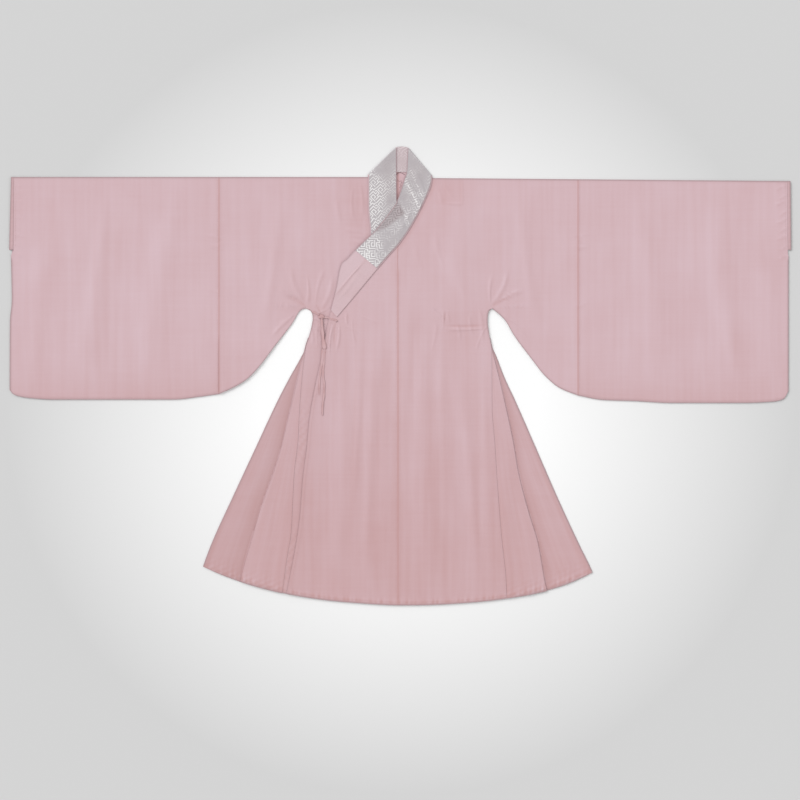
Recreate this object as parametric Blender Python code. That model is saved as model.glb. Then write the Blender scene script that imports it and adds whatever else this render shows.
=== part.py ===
"""Hanfu robe, laid flat on its back: each cut piece of cloth as one thin closed wall.

Sizes are in millimetres until a mesh is made. u runs to the right seen from above,
which is the wearer's left, and v runs down from the shoulder line. d is the distance
outwards from the middle on either side.
"""

import math

import bmesh
import bpy
from mathutils import Vector

MM = 0.001

# Cloth
CLOTH = 1.0
GAP = 0.3
STEP = CLOTH + GAP
BACK_Z = CLOTH / 2
FRONT_Z = 2.2
TURN_STEPS = 4

# Whole garment
SHOULDER_Y = 538.0
HEM_V = 1158.0
HEM_RISE = 84.0
HEM_REACH = 500.0
HEM_POWER = 2.3
CENTRE_U = -6.0
BACK_NECK_HALF = 85.0
BACK_NECK_RISE = 13.0
LEFT_SHOULDER_DROP = 3.0
LEFT_SLEEVE_DROP = 8.0

# Rows of the body from the shoulder to the armpit, and how many below it
UPPER_ROWS = (0.0, 25.0, 50.0, 75.0, 100.0, 150.0, 200.0, 250.0, 300.0, 355.0)
SKIRT_ROWS = 13
SLEEVE_ROOT_COLUMNS = (272.0, 306.0, 345.0, 391.0, 436.0)

# Heights that the outer front climbs over the layers below it
FRONT_LIFT = 2.2
COLLAR_LIFT = 1.9
COLLAR_ABOVE_FRONT = 1.5
LAPEL_EDGE_LIFT = 1.5

# Side gores: level of each leaf's middle, from the top leaf to the one on the ground
LEAF_Z = (4.4, 3.1, 1.8, 0.5)
GORE_TOP_V = 470.0
GORE_ROWS = 11
GORE_INNER_FOLD = 0.5
GORE_SEAM = 0.9

# Sleeve rows as a share of the depth, the cuff opening and its facing
SLEEVE_ROWS = (0.0, 0.08, 0.16, 0.25, 0.32, 0.345, 0.45, 0.56, 0.68, 0.8, 0.91, 1.0)
SLEEVE_COLUMNS = (0.0, 0.09, 0.2, 0.31, 0.42, 0.53, 0.64, 0.75, 0.86, 0.93, 0.97, 1.0)
CUFF_OPEN_V = 197.0
CUFF_LIFT = 1.2
CUFF_ROWS = 5

# Guard collar across the band, as shares of the band's width
GUARD_SHARES = (0.0, 0.32, 0.64, 0.95)
BAND_SHARES = (0.0, 0.33, 0.67, 1.0)

# Lapels: v of the top line at the centre seam and at the free edge
OUTER_LAPEL_TOP = (179.5, 366.0)
INNER_LAPEL_TOP = (224.0, 392.0)
INNER_LAPEL_INSET = 30.0
LAPEL_COLUMNS = 6
OUTER_LAPEL_ROWS = 18
INNER_LAPEL_ROWS = 10

# Necklines: d where the shoulder fold starts, v there, and how fast the line drops inwards
NECKLINE = {"right": (80.0, 150.0, 1.1), "left": (82.0, 3.0, 2.0)}
NECK_COLUMNS = {"right": (30.0, 55.0), "left": (20.0, 50.0)}

# Ties: u, v, height and finished width along each stretch
TIE_CLOTH = 1.0
TIE_SIDE = ((-236, 364, 3.6, 6.0), (-230, 367, 4.4, 6.0), (-223.5, 371, 5.6, 6.0))
TIE_LAPEL = (
    (-170, 388, 5.9, 6.0), (-182, 384.5, 6.0, 6.0), (-192, 381, 6.0, 6.0),
    (-200, 379, 6.0, 6.0),
)
TIE_LOOP = (
    (-208, 387.5, 6.4, 5.5), (-206.5, 410, 6.0, 7.0), (-205, 440, 6.3, 9.0),
    (-204.5, 462, 6.5, 11.0), (-204.5, 464.3, 6.8, 11.0), (-204.5, 465, 7.4, 11.0),
    (-204.5, 464.3, 8.0, 11.0), (-204.5, 462, 8.3, 11.0), (-206, 440, 8.3, 9.0),
    (-208, 410, 8.3, 7.0), (-209, 387.5, 8.4, 5.5),
)
TIE_TAIL_LONG = (
    (-204, 476, 6.5, 7.5), (-206.5, 508, 6.6, 7.5), (-209, 548, 6.7, 7.5),
    (-206, 562, 6.8, 7.5), (-209, 610, 6.8, 7.0), (-210, 643, 6.8, 6.0),
)
TIE_TAIL_SHORT = (
    (-212.5, 474, 6.6, 6.0), (-214.5, 508, 6.7, 6.5), (-217.5, 548, 6.9, 6.5),
    (-219, 588, 6.9, 5.5),
)
KNOT_CENTRE = (-212.0, 377.0, 5.8)
KNOT_HALF = (9.0, 8.0, 2.7)
KNOT_SWELL = 0.12

# side seam of the body: v, d
SIDE_SEAM = {
    "right": ((355, 254), (376, 242), (402, 242), (454, 254), (518, 262), (618, 271),
              (718, 276), (791, 285), (881, 290), (960, 294), (1026, 305), (1140, 320)),
    "left": ((355, 248), (391, 236), (427, 241), (475, 247), (624, 248), (713, 255),
             (810, 261), (904, 268), (977, 274), (1077, 285), (1150, 288)),
}
# underarm edge of the body's sleeve part: d, v
UNDERARM = {
    "right": ((254, 355), (268, 360), (284, 375), (306, 408), (338, 456), (384, 516),
              (416, 548), (449, 564), (489, 586)),
    "left": ((248, 355), (272, 375), (286, 391), (305, 424), (353, 489), (391, 537),
             (431, 570), (480, 590)),
}
# lower edge of the sleeve: d, v
SLEEVE_BOTTOM = {
    "right": ((489, 586), (546, 591), (611, 601), (935, 601), (1000, 596), (1030, 592),
              (1045, 586), (1054, 575)),
    "left": ((480, 590), (548, 602), (634, 605), (731, 610), (925, 610), (1010, 606),
             (1035, 599), (1048, 578)),
}
# end of the sleeve, set back where the facing sits: v, d
SLEEVE_END = {
    "right": ((0, 1042), (200, 1044), (210, 1050), (332, 1048), (391, 1053), (600, 1054)),
    "left": ((0, 1044), (207, 1046), (215, 1048), (600, 1048)),
}
# end of the cuff facing: v, d
FACING_END = {
    "right": ((0, 1050), (197, 1055)),
    "left": ((0, 1053), (210, 1055)),
}
# outline of the outer gore leaf: v, d
GORE_EDGE = {
    "right": ((440, 258), (472, 272), (537, 300), (602, 330), (732, 391), (861, 451),
              (991, 510), (1056, 534), (1100, 547)),
    "left": ((440, 245), (472, 257), (537, 280), (602, 310), (732, 367), (861, 423),
             (991, 483), (1061, 517), (1100, 532)),
}
# fold of the upper gore leaf: v, d
GORE_FOLD = {
    "right": ((455, 258), (591, 288), (670, 307), (730, 321), (803, 344), (887, 374),
              (965, 397), (1072, 427), (1120, 437)),
    "left": ((455, 250), (493, 255), (601, 281), (713, 305), (796, 319), (894, 344),
             (988, 372), (1093, 391), (1130, 400)),
}
# free edge of the outer lapel: v, d
LAPEL_EDGE = ((240, 160), (273, 164), (327, 176), (359, 187), (472, 209), (579, 232),
              (663, 246), (731, 252), (809, 262), (921, 271), (1140, 309))
# collar stations, each a line across the strip: inner u, inner v, outer u, outer v
COLLAR_UNDER = (
    (160, 285, 110, 345), (125, 240, 70, 300), (95, 205, 35, 268), (60, 165, -12, 236),
    (30, 130, -52, 202), (5, 98, -79, 168), (-8, 68, -82, 137), (-10, 30, -86, 102),
    (-10, -5, -87, 70), (-10, -40, -87, 36), (-10, -68, -87, 8),
)
COLLAR_FOLD_UNDER = (-9, -79, -87, -3)
COLLAR_BACK = (
    (-7, -81, -68, -5.1), (-2, -81.5, -40, -10.5), (6, -82, 0, -13.4), (13, -81, 40, -10.5),
    (19, -80, 68, -5.1),
)
COLLAR_FOLD_OVER = (21, -77, 86, 0)
COLLAR_OVER = (
    (20, -64, 86, 11), (19, -38, 83, 26), (17, -12, 77, 42), (9, 14, 69, 60),
    (0, 42, 57, 85), (-12, 73, 41, 115), (-30, 98, 21, 149), (-50, 124, -4, 184),
    (-72, 150, -26, 208), (-97, 174, -44, 229), (-121, 198, -61, 248),
)
COLLAR_LOWER = (
    (-141, 220, -88, 280), (-160, 240, -117, 315), (-172, 300, -146, 349),
    (-187, 359, -171, 378),
)
# soft folds that stand up from the cloth: u and v of each end, half width, height
FOLDS = (
    (-60, 420, -88, 1125, 48, 1.6),
    (-150, 560, -176, 1110, 42, 1.3),
    (62, 430, 78, 1130, 52, 1.8),
    (160, 520, 205, 1115, 50, 1.6),
    (140, 190, 175, 330, 45, 0.8),
    (330, 60, 372, 420, 52, 1.2),
    (-330, 60, -372, 420, 52, 1.2),
    (-610, 70, -680, 560, 62, 1.2),
    (-800, 60, -862, 560, 66, 1.4),
    (640, 70, 700, 570, 62, 1.2),
    (850, 60, 915, 570, 66, 1.4),
)

PINK = (0.62, 0.43, 0.46, 1.0)
PALE_PINK = (0.68, 0.47, 0.51, 1.0)
SILVER = (0.58, 0.53, 0.55, 1.0)


def table(rows, key):
    """Read a two-column table at key, straight between its rows."""
    if key <= rows[0][0]:
        return float(rows[0][1])
    for (low, first), (high, second) in zip(rows, rows[1:]):
        if key <= high:
            return first + (second - first) * (key - low) / (high - low)
    return float(rows[-1][1])


def rise(value, start, end):
    """A smooth step from 0 at start to 1 at end."""
    share = min(1.0, max(0.0, (value - start) / (end - start)))
    return share * share * (3.0 - 2.0 * share)


def hem(u):
    return HEM_V - HEM_RISE * (abs(u) / HEM_REACH) ** HEM_POWER


def back_neck(u):
    return BACK_NECK_RISE * ((u / BACK_NECK_HALF) ** 2 - 1.0)


def fold_height(u, v):
    """Height that the soft folds add at one place."""
    height = 0.0
    for u0, v0, u1, v1, half_width, tall in FOLDS:
        along = ((u - u0) * (u1 - u0) + (v - v0) * (v1 - v0)) / (
            (u1 - u0) ** 2 + (v1 - v0) ** 2
        )
        if not 0.0 < along < 1.0:
            continue
        across = math.hypot(u - u0 - along * (u1 - u0), v - v0 - along * (v1 - v0))
        if across < half_width:
            ends = rise(along, 0.0, 0.2) * (1.0 - 0.6 * rise(along, 0.7, 1.0))
            height += tall * ends * math.cos(0.5 * math.pi * across / half_width) ** 2
    return height


def over_collar(u, v):
    """Share by which the outer front is lifted over the hidden end of the collar."""
    beside = 1.0 - rise(u, 165.0, 240.0) - rise(-u, 100.0, 165.0)
    return rise(v, 0.0, 80.0) * (1.0 - rise(v, 330.0, 450.0)) * max(0.0, beside)


def outer_front_z(u, v):
    """Middle of the outer front without its folds, for the left body and the lapel."""
    lift = FRONT_LIFT * rise(v, 20.0, 110.0) * (1.0 - rise(u, 250.0, 420.0))
    edge = table(SIDE_SEAM["right"], v)
    near_edge = rise(-u, edge - 95.0, edge - 20.0) * rise(v, 400.0, 480.0)
    return FRONT_Z + lift + COLLAR_LIFT * over_collar(u, v) + LAPEL_EDGE_LIFT * near_edge


def left_front_z(u, v):
    return outer_front_z(u, v) + fold_height(u, v)


def right_front_z(u, v):
    """Middle of the right body's front, which climbs to the top gore leaf at the side."""
    edge = table(SIDE_SEAM["right"], v)
    climb = rise(-u, edge - 60.0, edge) * rise(v, 400.0, 480.0)
    beyond = fold_height(u, v) if -u > edge + 20.0 else 0.0
    return FRONT_Z + (LEAF_Z[0] - FRONT_Z) * climb + beyond


def inner_lapel_z(u, v):
    return FRONT_Z


def place(u, v, z):
    return Vector((u, SHOULDER_Y - v, z))


UP = Vector((0.0, 0.0, 1.0))
DOWN = Vector((0.0, 0.0, -1.0))


def make_material(name, colour, roughness):
    material = bpy.data.materials.new(name)
    material.use_nodes = True
    shader = material.node_tree.nodes["Principled BSDF"]
    shader.inputs["Base Color"].default_value = colour
    shader.inputs["Roughness"].default_value = roughness
    shader.inputs["Metallic"].default_value = 0.0
    return material


def cloth_wall(name, lattice, thickness, colour, roughness, collection):
    """Close a lattice of cloth into a wall.

    Each row of the lattice holds (point on the cloth's middle, unit normal) or None
    where there is no cloth. Both faces are built from the same triangles, and the rim
    joins them.
    """
    body = bmesh.new()
    corners = {}
    open_edges = set()
    for i, (first, second) in enumerate(zip(lattice, lattice[1:])):
        for j in range(len(first) - 1):
            cell = ((i, j), (i, j + 1), (i + 1, j + 1), (i + 1, j))
            if not (first[j] and first[j + 1] and second[j + 1] and second[j]):
                continue
            for at in cell:
                if at in corners:
                    continue
                point, normal = lattice[at[0]][at[1]]
                offset = normal * (thickness / 2.0)
                corners[at] = (
                    body.verts.new((point + offset) * MM),
                    body.verts.new((point - offset) * MM),
                )
            for triangle in ((cell[0], cell[1], cell[2]), (cell[0], cell[2], cell[3])):
                body.faces.new([corners[at][0] for at in triangle])
                body.faces.new([corners[at][1] for at in reversed(triangle)])
            for start, end in zip(cell, cell[1:] + cell[:1]):
                if (end, start) in open_edges:
                    open_edges.remove((end, start))
                else:
                    open_edges.add((start, end))
    for start, end in sorted(open_edges):
        body.faces.new(
            (corners[end][0], corners[start][0], corners[start][1], corners[end][1])
        )
    bmesh.ops.recalc_face_normals(body, faces=body.faces)
    return finish_mesh(name, body, colour, roughness, collection)


def finish_mesh(name, body, colour, roughness, collection):
    mesh = bpy.data.meshes.new(name)
    body.to_mesh(mesh)
    body.free()
    for polygon in mesh.polygons:
        polygon.use_smooth = True
    mesh.materials.append(make_material(name + "_cloth", colour, roughness))
    piece = bpy.data.objects.new(name, mesh)
    collection.objects.link(piece)
    return piece


def turn_over_top(u, top, front_z, back_z):
    """Points round a fold whose outermost line is at v = top, front side first."""
    radius = (front_z - back_z) / 2.0
    middle_z = (front_z + back_z) / 2.0
    centre_v = top + radius + CLOTH / 2.0
    points = []
    for step in range(1, TURN_STEPS):
        angle = math.pi * step / TURN_STEPS
        normal = Vector((0.0, math.sin(angle), math.cos(angle)))
        points.append((place(u, centre_v, middle_z) + normal * radius, normal))
    return points


def folded_column(rows, top, front_z):
    """One column of a folded piece: front from the bottom up, the turn, then the back.

    rows holds (u, v) down the column from the fold, which both layers share.
    """
    fold_u = rows[0][0]
    edge_z = front_z(fold_u, top)
    inset = (edge_z - BACK_Z) / 2.0 + CLOTH / 2.0
    shifted = [(u, max(v, top + inset)) for u, v in rows]
    front = [(place(u, v, front_z(u, v)), UP) for u, v in reversed(shifted)]
    front[-1] = (place(*shifted[0], edge_z), UP)
    back = [(place(u, v, BACK_Z), DOWN) for u, v in shifted]
    return front + turn_over_top(fold_u, top, edge_z, BACK_Z) + back


def transposed(columns):
    return [list(row) for row in zip(*columns)]


def body_columns(side):
    """Distances out of the body's columns: middle to neck, to armpit, to sleeve seam."""
    armpit = table(SIDE_SEAM[side], UPPER_ROWS[-1])
    seam = UNDERARM[side][-1][0]
    neck = NECKLINE[side][0]
    middle = (-CENTRE_U if side == "right" else CENTRE_U) + GAP / 2.0
    to_armpit = [neck + (armpit - neck) * k / 4.0 for k in range(1, 5)]
    inner = [middle, *NECK_COLUMNS[side]]
    return inner, [neck], to_armpit, [*SLEEVE_ROOT_COLUMNS, float(seam)]


def neckline(side, d):
    """Top of the front between the middle and the neck, and the row it starts at."""
    neck, start, slope = NECKLINE[side]
    first_row = UPPER_ROWS.index(start) if start in UPPER_ROWS else 0
    return start + (neck - d) * slope, first_row


def shoulder_top(side, d):
    """The left shoulder and sleeve lie a little lower, and slope."""
    if side == "right":
        return 0.0
    return LEFT_SHOULDER_DROP + LEFT_SLEEVE_DROP * max(0.0, d - 90.0) / 960.0


def body_piece(side, front_z, collection):
    """One half of the robe: front and back in one length, folded at the shoulder."""
    sign = -1.0 if side == "right" else 1.0
    inner, neck, to_armpit, to_seam = body_columns(side)
    armpit_v = UPPER_ROWS[-1]
    armpit = to_armpit[-1]
    seam = SIDE_SEAM[side]
    middle = inner[0]

    def skirt_place(d, v):
        out = (d - middle) / (armpit - middle)
        return sign * (middle + out * (table(seam, v) - middle)), v

    columns = []
    for d in inner + neck + to_armpit:
        end_v = hem(skirt_place(d, 1120.0)[0])
        skirt = []
        for row in range(1, SKIRT_ROWS + 1):
            v = armpit_v + (end_v - armpit_v) * row / SKIRT_ROWS
            skirt.append(skirt_place(d, v))
        if d in inner:
            top, first_row = neckline(side, d)
            span = len(UPPER_ROWS) - 1 - first_row
            front_top = [
                (sign * d, top + (armpit_v - top) * k / span) for k in range(span + 1)
            ]
            back_top = [
                (sign * d, back_neck(d) + (armpit_v - back_neck(d)) * v / armpit_v)
                for v in UPPER_ROWS
            ]
            front = [(place(u, v, front_z(u, v)), UP) for u, v in front_top + skirt]
            missing = [None] * (first_row + TURN_STEPS - 1)
            back = [(place(u, v, BACK_Z), DOWN) for u, v in back_top + skirt]
            columns.append(front[::-1] + missing + back)
        else:
            top = shoulder_top(side, d)
            upper = [(sign * d, top + (armpit_v - top) * v / armpit_v) for v in UPPER_ROWS]
            columns.append(folded_column(upper + skirt, top, front_z))
    for d in to_seam:
        top = shoulder_top(side, d)
        bottom = table(UNDERARM[side], d)
        upper = [(sign * d, top + (bottom - top) * v / armpit_v) for v in UPPER_ROWS]
        column = folded_column(upper, top, front_z)
        columns.append([None] * SKIRT_ROWS + column + [None] * SKIRT_ROWS)
    return cloth_wall(
        "body_" + side, transposed(columns), CLOTH, PINK, 0.75, collection
    )


def outer_lapel_edge(v):
    """Free edge of the outer lapel, as a distance from the middle."""
    return table(LAPEL_EDGE, v)


def inner_lapel_edge(v):
    """Free edge of the hidden lapel, which stays inside the left side seam."""
    return min(table(LAPEL_EDGE, v), table(SIDE_SEAM["left"], v) - INNER_LAPEL_INSET)


def lapel_piece(name, sign, top_ends, edge_at, front_z, rows, collection):
    """A panel from the centre seam to its free edge, from the collar to the hem."""
    middle = CENTRE_U + sign * GAP / 2.0
    columns = []
    for k in range(LAPEL_COLUMNS):
        share = k / (LAPEL_COLUMNS - 1)
        top = top_ends[0] + (top_ends[1] - top_ends[0]) * share
        end_v = hem(middle + share * (sign * edge_at(1120.0) - middle))
        column = []
        for row in range(rows + 1):
            v = top + (end_v - top) * row / rows
            u = middle + share * (sign * edge_at(v) - middle)
            column.append((place(u, v, front_z(u, v)), UP))
        columns.append(column)
    return cloth_wall(name, transposed(columns), CLOTH, PINK, 0.75, collection)


def sleeve_front_z(side):
    """Middle of a sleeve's front layer, raised a little where the cuff is open."""
    end = SLEEVE_END[side][0][1]

    def height(u, v):
        near_end = rise(abs(u), end - 95.0, end - 5.0)
        opening = 1.0 - rise(v, CUFF_OPEN_V - 20.0, CUFF_OPEN_V + 50.0)
        return FRONT_Z + CUFF_LIFT * near_end * opening + fold_height(u, v)

    return height


def sleeve_piece(side, collection):
    sign = -1.0 if side == "right" else 1.0
    seam = UNDERARM[side][-1][0] + GAP
    columns = []
    for share in SLEEVE_COLUMNS:
        out = seam + share * (SLEEVE_BOTTOM[side][-1][0] - seam)
        top = shoulder_top(side, out)
        bottom = table(SLEEVE_BOTTOM[side], out)
        rows = []
        for part in SLEEVE_ROWS:
            v = top + (bottom - top) * part
            d = seam + share * (table(SLEEVE_END[side], v) - seam)
            rows.append((sign * d, v))
        columns.append(folded_column(rows, top, sleeve_front_z(side)))
    return cloth_wall(
        "sleeve_" + side, transposed(columns), CLOTH, PINK, 0.75, collection
    )


def cuff_piece(side, collection):
    """The facing strip that runs round the open upper part of the sleeve end."""
    sign = -1.0 if side == "right" else 1.0
    top = shoulder_top(side, SLEEVE_END[side][0][1])
    columns = []
    for share in (0.0, 0.5, 1.0):
        rows = []
        for row in range(CUFF_ROWS + 1):
            v = top + (CUFF_OPEN_V - top) * row / CUFF_ROWS
            inner = table(SLEEVE_END[side], v) + GAP
            d = inner + share * (table(FACING_END[side], v) - inner)
            rows.append((sign * d, v))
        columns.append(folded_column(rows, top, sleeve_front_z(side)))
    return cloth_wall("cuff_" + side, transposed(columns), CLOTH, PINK, 0.7, collection)


def leaf_run(start, end, level, normal, count):
    """Points along one leaf of the gore, evenly between start and end."""
    return [
        (start + (end - start) * k / (count - 1), level, 0.0, normal)
        for k in range(count)
    ]


def leaf_turn(at, upper, lower, outwards):
    """Points round the fold between two leaves. Inside a turn the cloth's face flips."""
    radius = (upper - lower) / 2.0
    points = []
    for step in range(1, TURN_STEPS):
        angle = math.pi * step / TURN_STEPS
        across, up = math.sin(angle), math.cos(angle)
        direction = 1.0 if outwards else -1.0
        points.append(
            (
                at + direction * radius * across,
                lower + radius + radius * up,
                across,
                up if outwards else -up,
            )
        )
    return points


def gore_section(side, v):
    """The pleated gore across one level: distance out, height and normal of each point."""
    seam = table(SIDE_SEAM[side], v) + GORE_SEAM
    inset = (LEAF_Z[0] - LEAF_Z[1]) / 2.0 + CLOTH / 2.0
    fold = table(GORE_FOLD[side], v) - inset
    edge = table(GORE_EDGE[side], v) - inset
    inner = seam + GORE_INNER_FOLD + inset
    top, second, third, ground = LEAF_Z
    return (
        leaf_run(seam, fold, top, 1.0, 5)
        + leaf_turn(fold, top, second, True)
        + leaf_run(fold, inner, second, -1.0, 3)
        + leaf_turn(inner, second, third, False)
        + leaf_run(inner, edge, third, 1.0, 6)
        + leaf_turn(edge, third, ground, True)
        + leaf_run(edge, seam, ground, -1.0, 4)
    )


def gore_piece(side, collection):
    """The side gore: one cloth folded twice outwards and once inwards, fanning down."""
    sign = -1.0 if side == "right" else 1.0
    ends = [hem(point[0]) for point in gore_section(side, 1085.0)]
    lattice = []
    for row in range(GORE_ROWS + 1):
        share = row / GORE_ROWS
        line = []
        for k, end_v in enumerate(ends):
            v = GORE_TOP_V + (end_v - GORE_TOP_V) * share
            d, z, across, up = gore_section(side, v)[k]
            normal = Vector((sign * across, 0.0, up)).normalized()
            line.append((place(sign * d, v, z), normal))
        lattice.append(line)
    return cloth_wall("gore_" + side, lattice, CLOTH, PINK, 0.75, collection)


def collar_station(row, z_at, normal, shares, offset):
    """One line of points across the collar, shifted along its normal by offset."""
    inner_u, inner_v, outer_u, outer_v = row
    points = []
    for share in shares:
        u = inner_u + (outer_u - inner_u) * share
        v = inner_v + (outer_v - inner_v) * share
        points.append((place(u, v, z_at(u, v)) + normal * offset, normal))
    return points


def collar_turn(row, upper_z, lower_z, sign, shares, offset):
    """The strip's fold beside the neck, from its upper layer to its lower one."""
    inner_u, inner_v, outer_u, outer_v = row
    along = Vector((outer_u - inner_u, inner_v - outer_v, 0.0)).normalized()
    out = Vector((along.y, -along.x, 0.0))
    if out.x * sign < 0.0:
        out.negate()
    radius = (upper_z - lower_z) / 2.0
    middle_z = (upper_z + lower_z) / 2.0
    stations = []
    for step in range(TURN_STEPS + 1):
        angle = math.pi * step / TURN_STEPS
        normal = UP * math.cos(angle) + out * math.sin(angle)
        reach = radius + offset
        line = []
        for share in shares:
            u = inner_u + (outer_u - inner_u) * share
            v = inner_v + (outer_v - inner_v) * share
            line.append((place(u, v, middle_z) + normal * reach, normal))
        stations.append(line)
    return stations


def collar_lattice(shares, offset, under, lower):
    """The collar strip from its hidden end, round the neck, to the lapel's corner."""
    under_z = FRONT_Z + STEP + 0.1
    back_z = BACK_Z + STEP

    def on_right(u, v):
        return under_z

    def behind(u, v):
        return back_z

    def on_left(u, v):
        return outer_front_z(u, v) + COLLAR_ABOVE_FRONT - 0.1 * (1.0 - rise(v, 0, 50))

    lattice = [collar_station(row, on_right, UP, shares, offset) for row in under]
    lattice += collar_turn(COLLAR_FOLD_UNDER, under_z, back_z, -1.0, shares, offset)
    lattice += [
        collar_station(row, behind, DOWN, shares, offset) for row in COLLAR_BACK
    ]
    over = collar_turn(COLLAR_FOLD_OVER, under_z, back_z, 1.0, shares, offset)
    lattice += over[::-1]
    lattice += [
        collar_station(row, on_left, UP, shares, offset) for row in COLLAR_OVER + lower
    ]
    return lattice


def ribbon(name, path, across, colour, collection):
    """A flat tie along path, a list of (u, v, z, width), with its width along across."""
    points = [place(*at[:3]) for at in path]
    side = Vector((across[0], -across[1], 0.0)).normalized()
    lattice = []
    for k, point in enumerate(points):
        before = points[max(0, k - 1)]
        after = points[min(len(points) - 1, k + 1)]
        tangent = (after - before).normalized()
        square = (side - tangent * side.dot(tangent)).normalized()
        normal = square.cross(tangent).normalized()
        if lattice and normal.dot(lattice[-1][0][1]) < 0.0:
            normal.negate()
        half = square * (path[k][3] / 2.0)
        lattice.append([(point - half, normal), (point, normal), (point + half, normal)])
    return cloth_wall(name, lattice, TIE_CLOTH, colour, 0.7, collection)


def knot(collection):
    """The bow's knot: a small cushion of wrapped ribbon, flat below."""
    body = bmesh.new()
    bmesh.ops.create_uvsphere(body, u_segments=16, v_segments=10, radius=1.0)
    centre = place(*KNOT_CENTRE)
    half_u, half_v, half_z = KNOT_HALF
    for vert in body.verts:
        point = vert.co
        swell = 1.0 - KNOT_SWELL * math.cos(3.0 * math.atan2(point.y, point.x))
        bulge = Vector((half_u * swell * point.x, half_v * swell * point.y, half_z * point.z))
        vert.co = (centre + bulge) * MM
    return finish_mesh("tie_knot", body, PALE_PINK, 0.7, collection)


def ties(collection):
    """The bow at the waist: two straps, the knot, one loop and two free ends."""
    ribbon("tie_side", TIE_SIDE, (0.5, -1.0), PALE_PINK, collection)
    ribbon("tie_lapel", TIE_LAPEL, (0.3, 1.0), PALE_PINK, collection)
    ribbon("tie_loop", TIE_LOOP, (1.0, 0.0), PALE_PINK, collection)
    ribbon("tie_tail_long", TIE_TAIL_LONG, (1.0, 0.0), PALE_PINK, collection)
    ribbon("tie_tail_short", TIE_TAIL_SHORT, (1.0, 0.0), PALE_PINK, collection)
    knot(collection)


def clear_scene():
    """Start from an empty scene."""
    for item in list(bpy.data.objects):
        bpy.data.objects.remove(item)


def main():
    """Build every piece into one collection."""
    clear_scene()
    robe = bpy.data.collections.new("hanfu_robe")
    bpy.context.scene.collection.children.link(robe)
    body_piece("right", right_front_z, robe)
    body_piece("left", left_front_z, robe)
    lapel_piece(
        "lapel_outer", -1.0, OUTER_LAPEL_TOP, outer_lapel_edge, left_front_z,
        OUTER_LAPEL_ROWS, robe,
    )
    lapel_piece(
        "lapel_inner", 1.0, INNER_LAPEL_TOP, inner_lapel_edge, inner_lapel_z,
        INNER_LAPEL_ROWS, robe,
    )
    for side in ("right", "left"):
        sleeve_piece(side, robe)
        cuff_piece(side, robe)
        gore_piece(side, robe)
    band = collar_lattice(BAND_SHARES, 0.0, COLLAR_UNDER, COLLAR_LOWER)
    cloth_wall("collar", band, CLOTH, PALE_PINK, 0.7, robe)
    guard = collar_lattice(GUARD_SHARES, STEP, COLLAR_UNDER[2:], ())
    cloth_wall("guard_collar", guard, CLOTH, SILVER, 0.5, robe)
    ties(robe)


main()
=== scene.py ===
"""The looks of a hanfu robe laid flat: cloth shells, brocade, ties, seams, floor and light.

Lengths are millimetres in the robe's plan until a mesh is made. u runs to the right seen
from above, which is the wearer's left, v runs down from the shoulder line, and z is the
height above the floor. d is the distance outwards from the middle on either side.
"""

from __future__ import annotations

import logging
import math
from collections.abc import Callable, Sequence
from dataclasses import dataclass
from enum import Enum
from functools import partial
from typing import ClassVar

import bpy
import numpy as np
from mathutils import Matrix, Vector
from mathutils.bvhtree import BVHTree


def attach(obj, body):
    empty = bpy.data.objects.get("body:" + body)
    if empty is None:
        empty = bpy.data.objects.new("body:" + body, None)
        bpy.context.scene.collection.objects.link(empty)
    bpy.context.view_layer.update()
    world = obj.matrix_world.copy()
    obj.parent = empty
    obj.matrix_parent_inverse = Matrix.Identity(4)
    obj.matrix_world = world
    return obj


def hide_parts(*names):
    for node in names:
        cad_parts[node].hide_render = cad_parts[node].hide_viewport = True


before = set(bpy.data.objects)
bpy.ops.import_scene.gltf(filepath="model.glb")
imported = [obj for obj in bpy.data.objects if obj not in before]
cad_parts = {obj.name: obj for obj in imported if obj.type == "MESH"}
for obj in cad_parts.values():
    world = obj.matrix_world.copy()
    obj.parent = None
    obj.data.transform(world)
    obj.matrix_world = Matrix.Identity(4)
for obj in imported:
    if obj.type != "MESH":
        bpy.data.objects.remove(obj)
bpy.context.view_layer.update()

LOG = logging.getLogger("hanfu_robe")
MM = 0.001
Array = np.ndarray
HeightAt = Callable[[Array, Array], Array]
Rows = tuple[tuple[float, ...], ...]

# The robe's own measures, as in the part's source
SHOULDER_Y = 538.0
CLOTH = 1.0
STEP = 1.3
BACK_Z = 0.5
FRONT_Z = 2.2
LEAF_Z = (4.4, 3.1, 1.8, 0.5)
ARMPIT_V = 355.0
CENTRE_U = -6.0
SHELL = 0.55
COLLAR_SHELL = 0.8
TIE_SHELL = 0.7
SHARP_DEGREES = 50.0
# Half the neck's width and where the neckline starts, on the right and on the left
RIGHT_NECK, RIGHT_NECK_V = 80.0, 150.0
LEFT_NECK, LEFT_NECK_V = 82.0, 3.0
# The level at which the cloth's columns are spaced out at the foot of the skirt
FOOT_V = 1120.0
GORE_FOOT_V = 1085.0
LAPEL_LENGTH, LAPEL_WIDTH = 950.0, 300.0
HIDDEN_ROW_STEP, HIDDEN_COLUMN_STEP = 30.0, 25.0


class Side(Enum):
    """A side of the robe, as its wearer has it."""

    RIGHT = "right"
    LEFT = "left"

    @property
    def sign(self) -> float:
        """Which way u grows outwards on this side."""
        return -1.0 if self is Side.RIGHT else 1.0


def rise(value: Array | float, start: Array | float, end: Array | float) -> Array:
    """Step smoothly from 0 at start to 1 at end.

    Args:
        value: Where to read the step.
        start: Where it leaves 0.
        end: Where it reaches 1.

    Returns:
        The step's height at each value.
    """
    share = np.clip((np.asarray(value, float) - start) / (end - start), 0.0, 1.0)
    return share * share * (3.0 - 2.0 * share)


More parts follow.
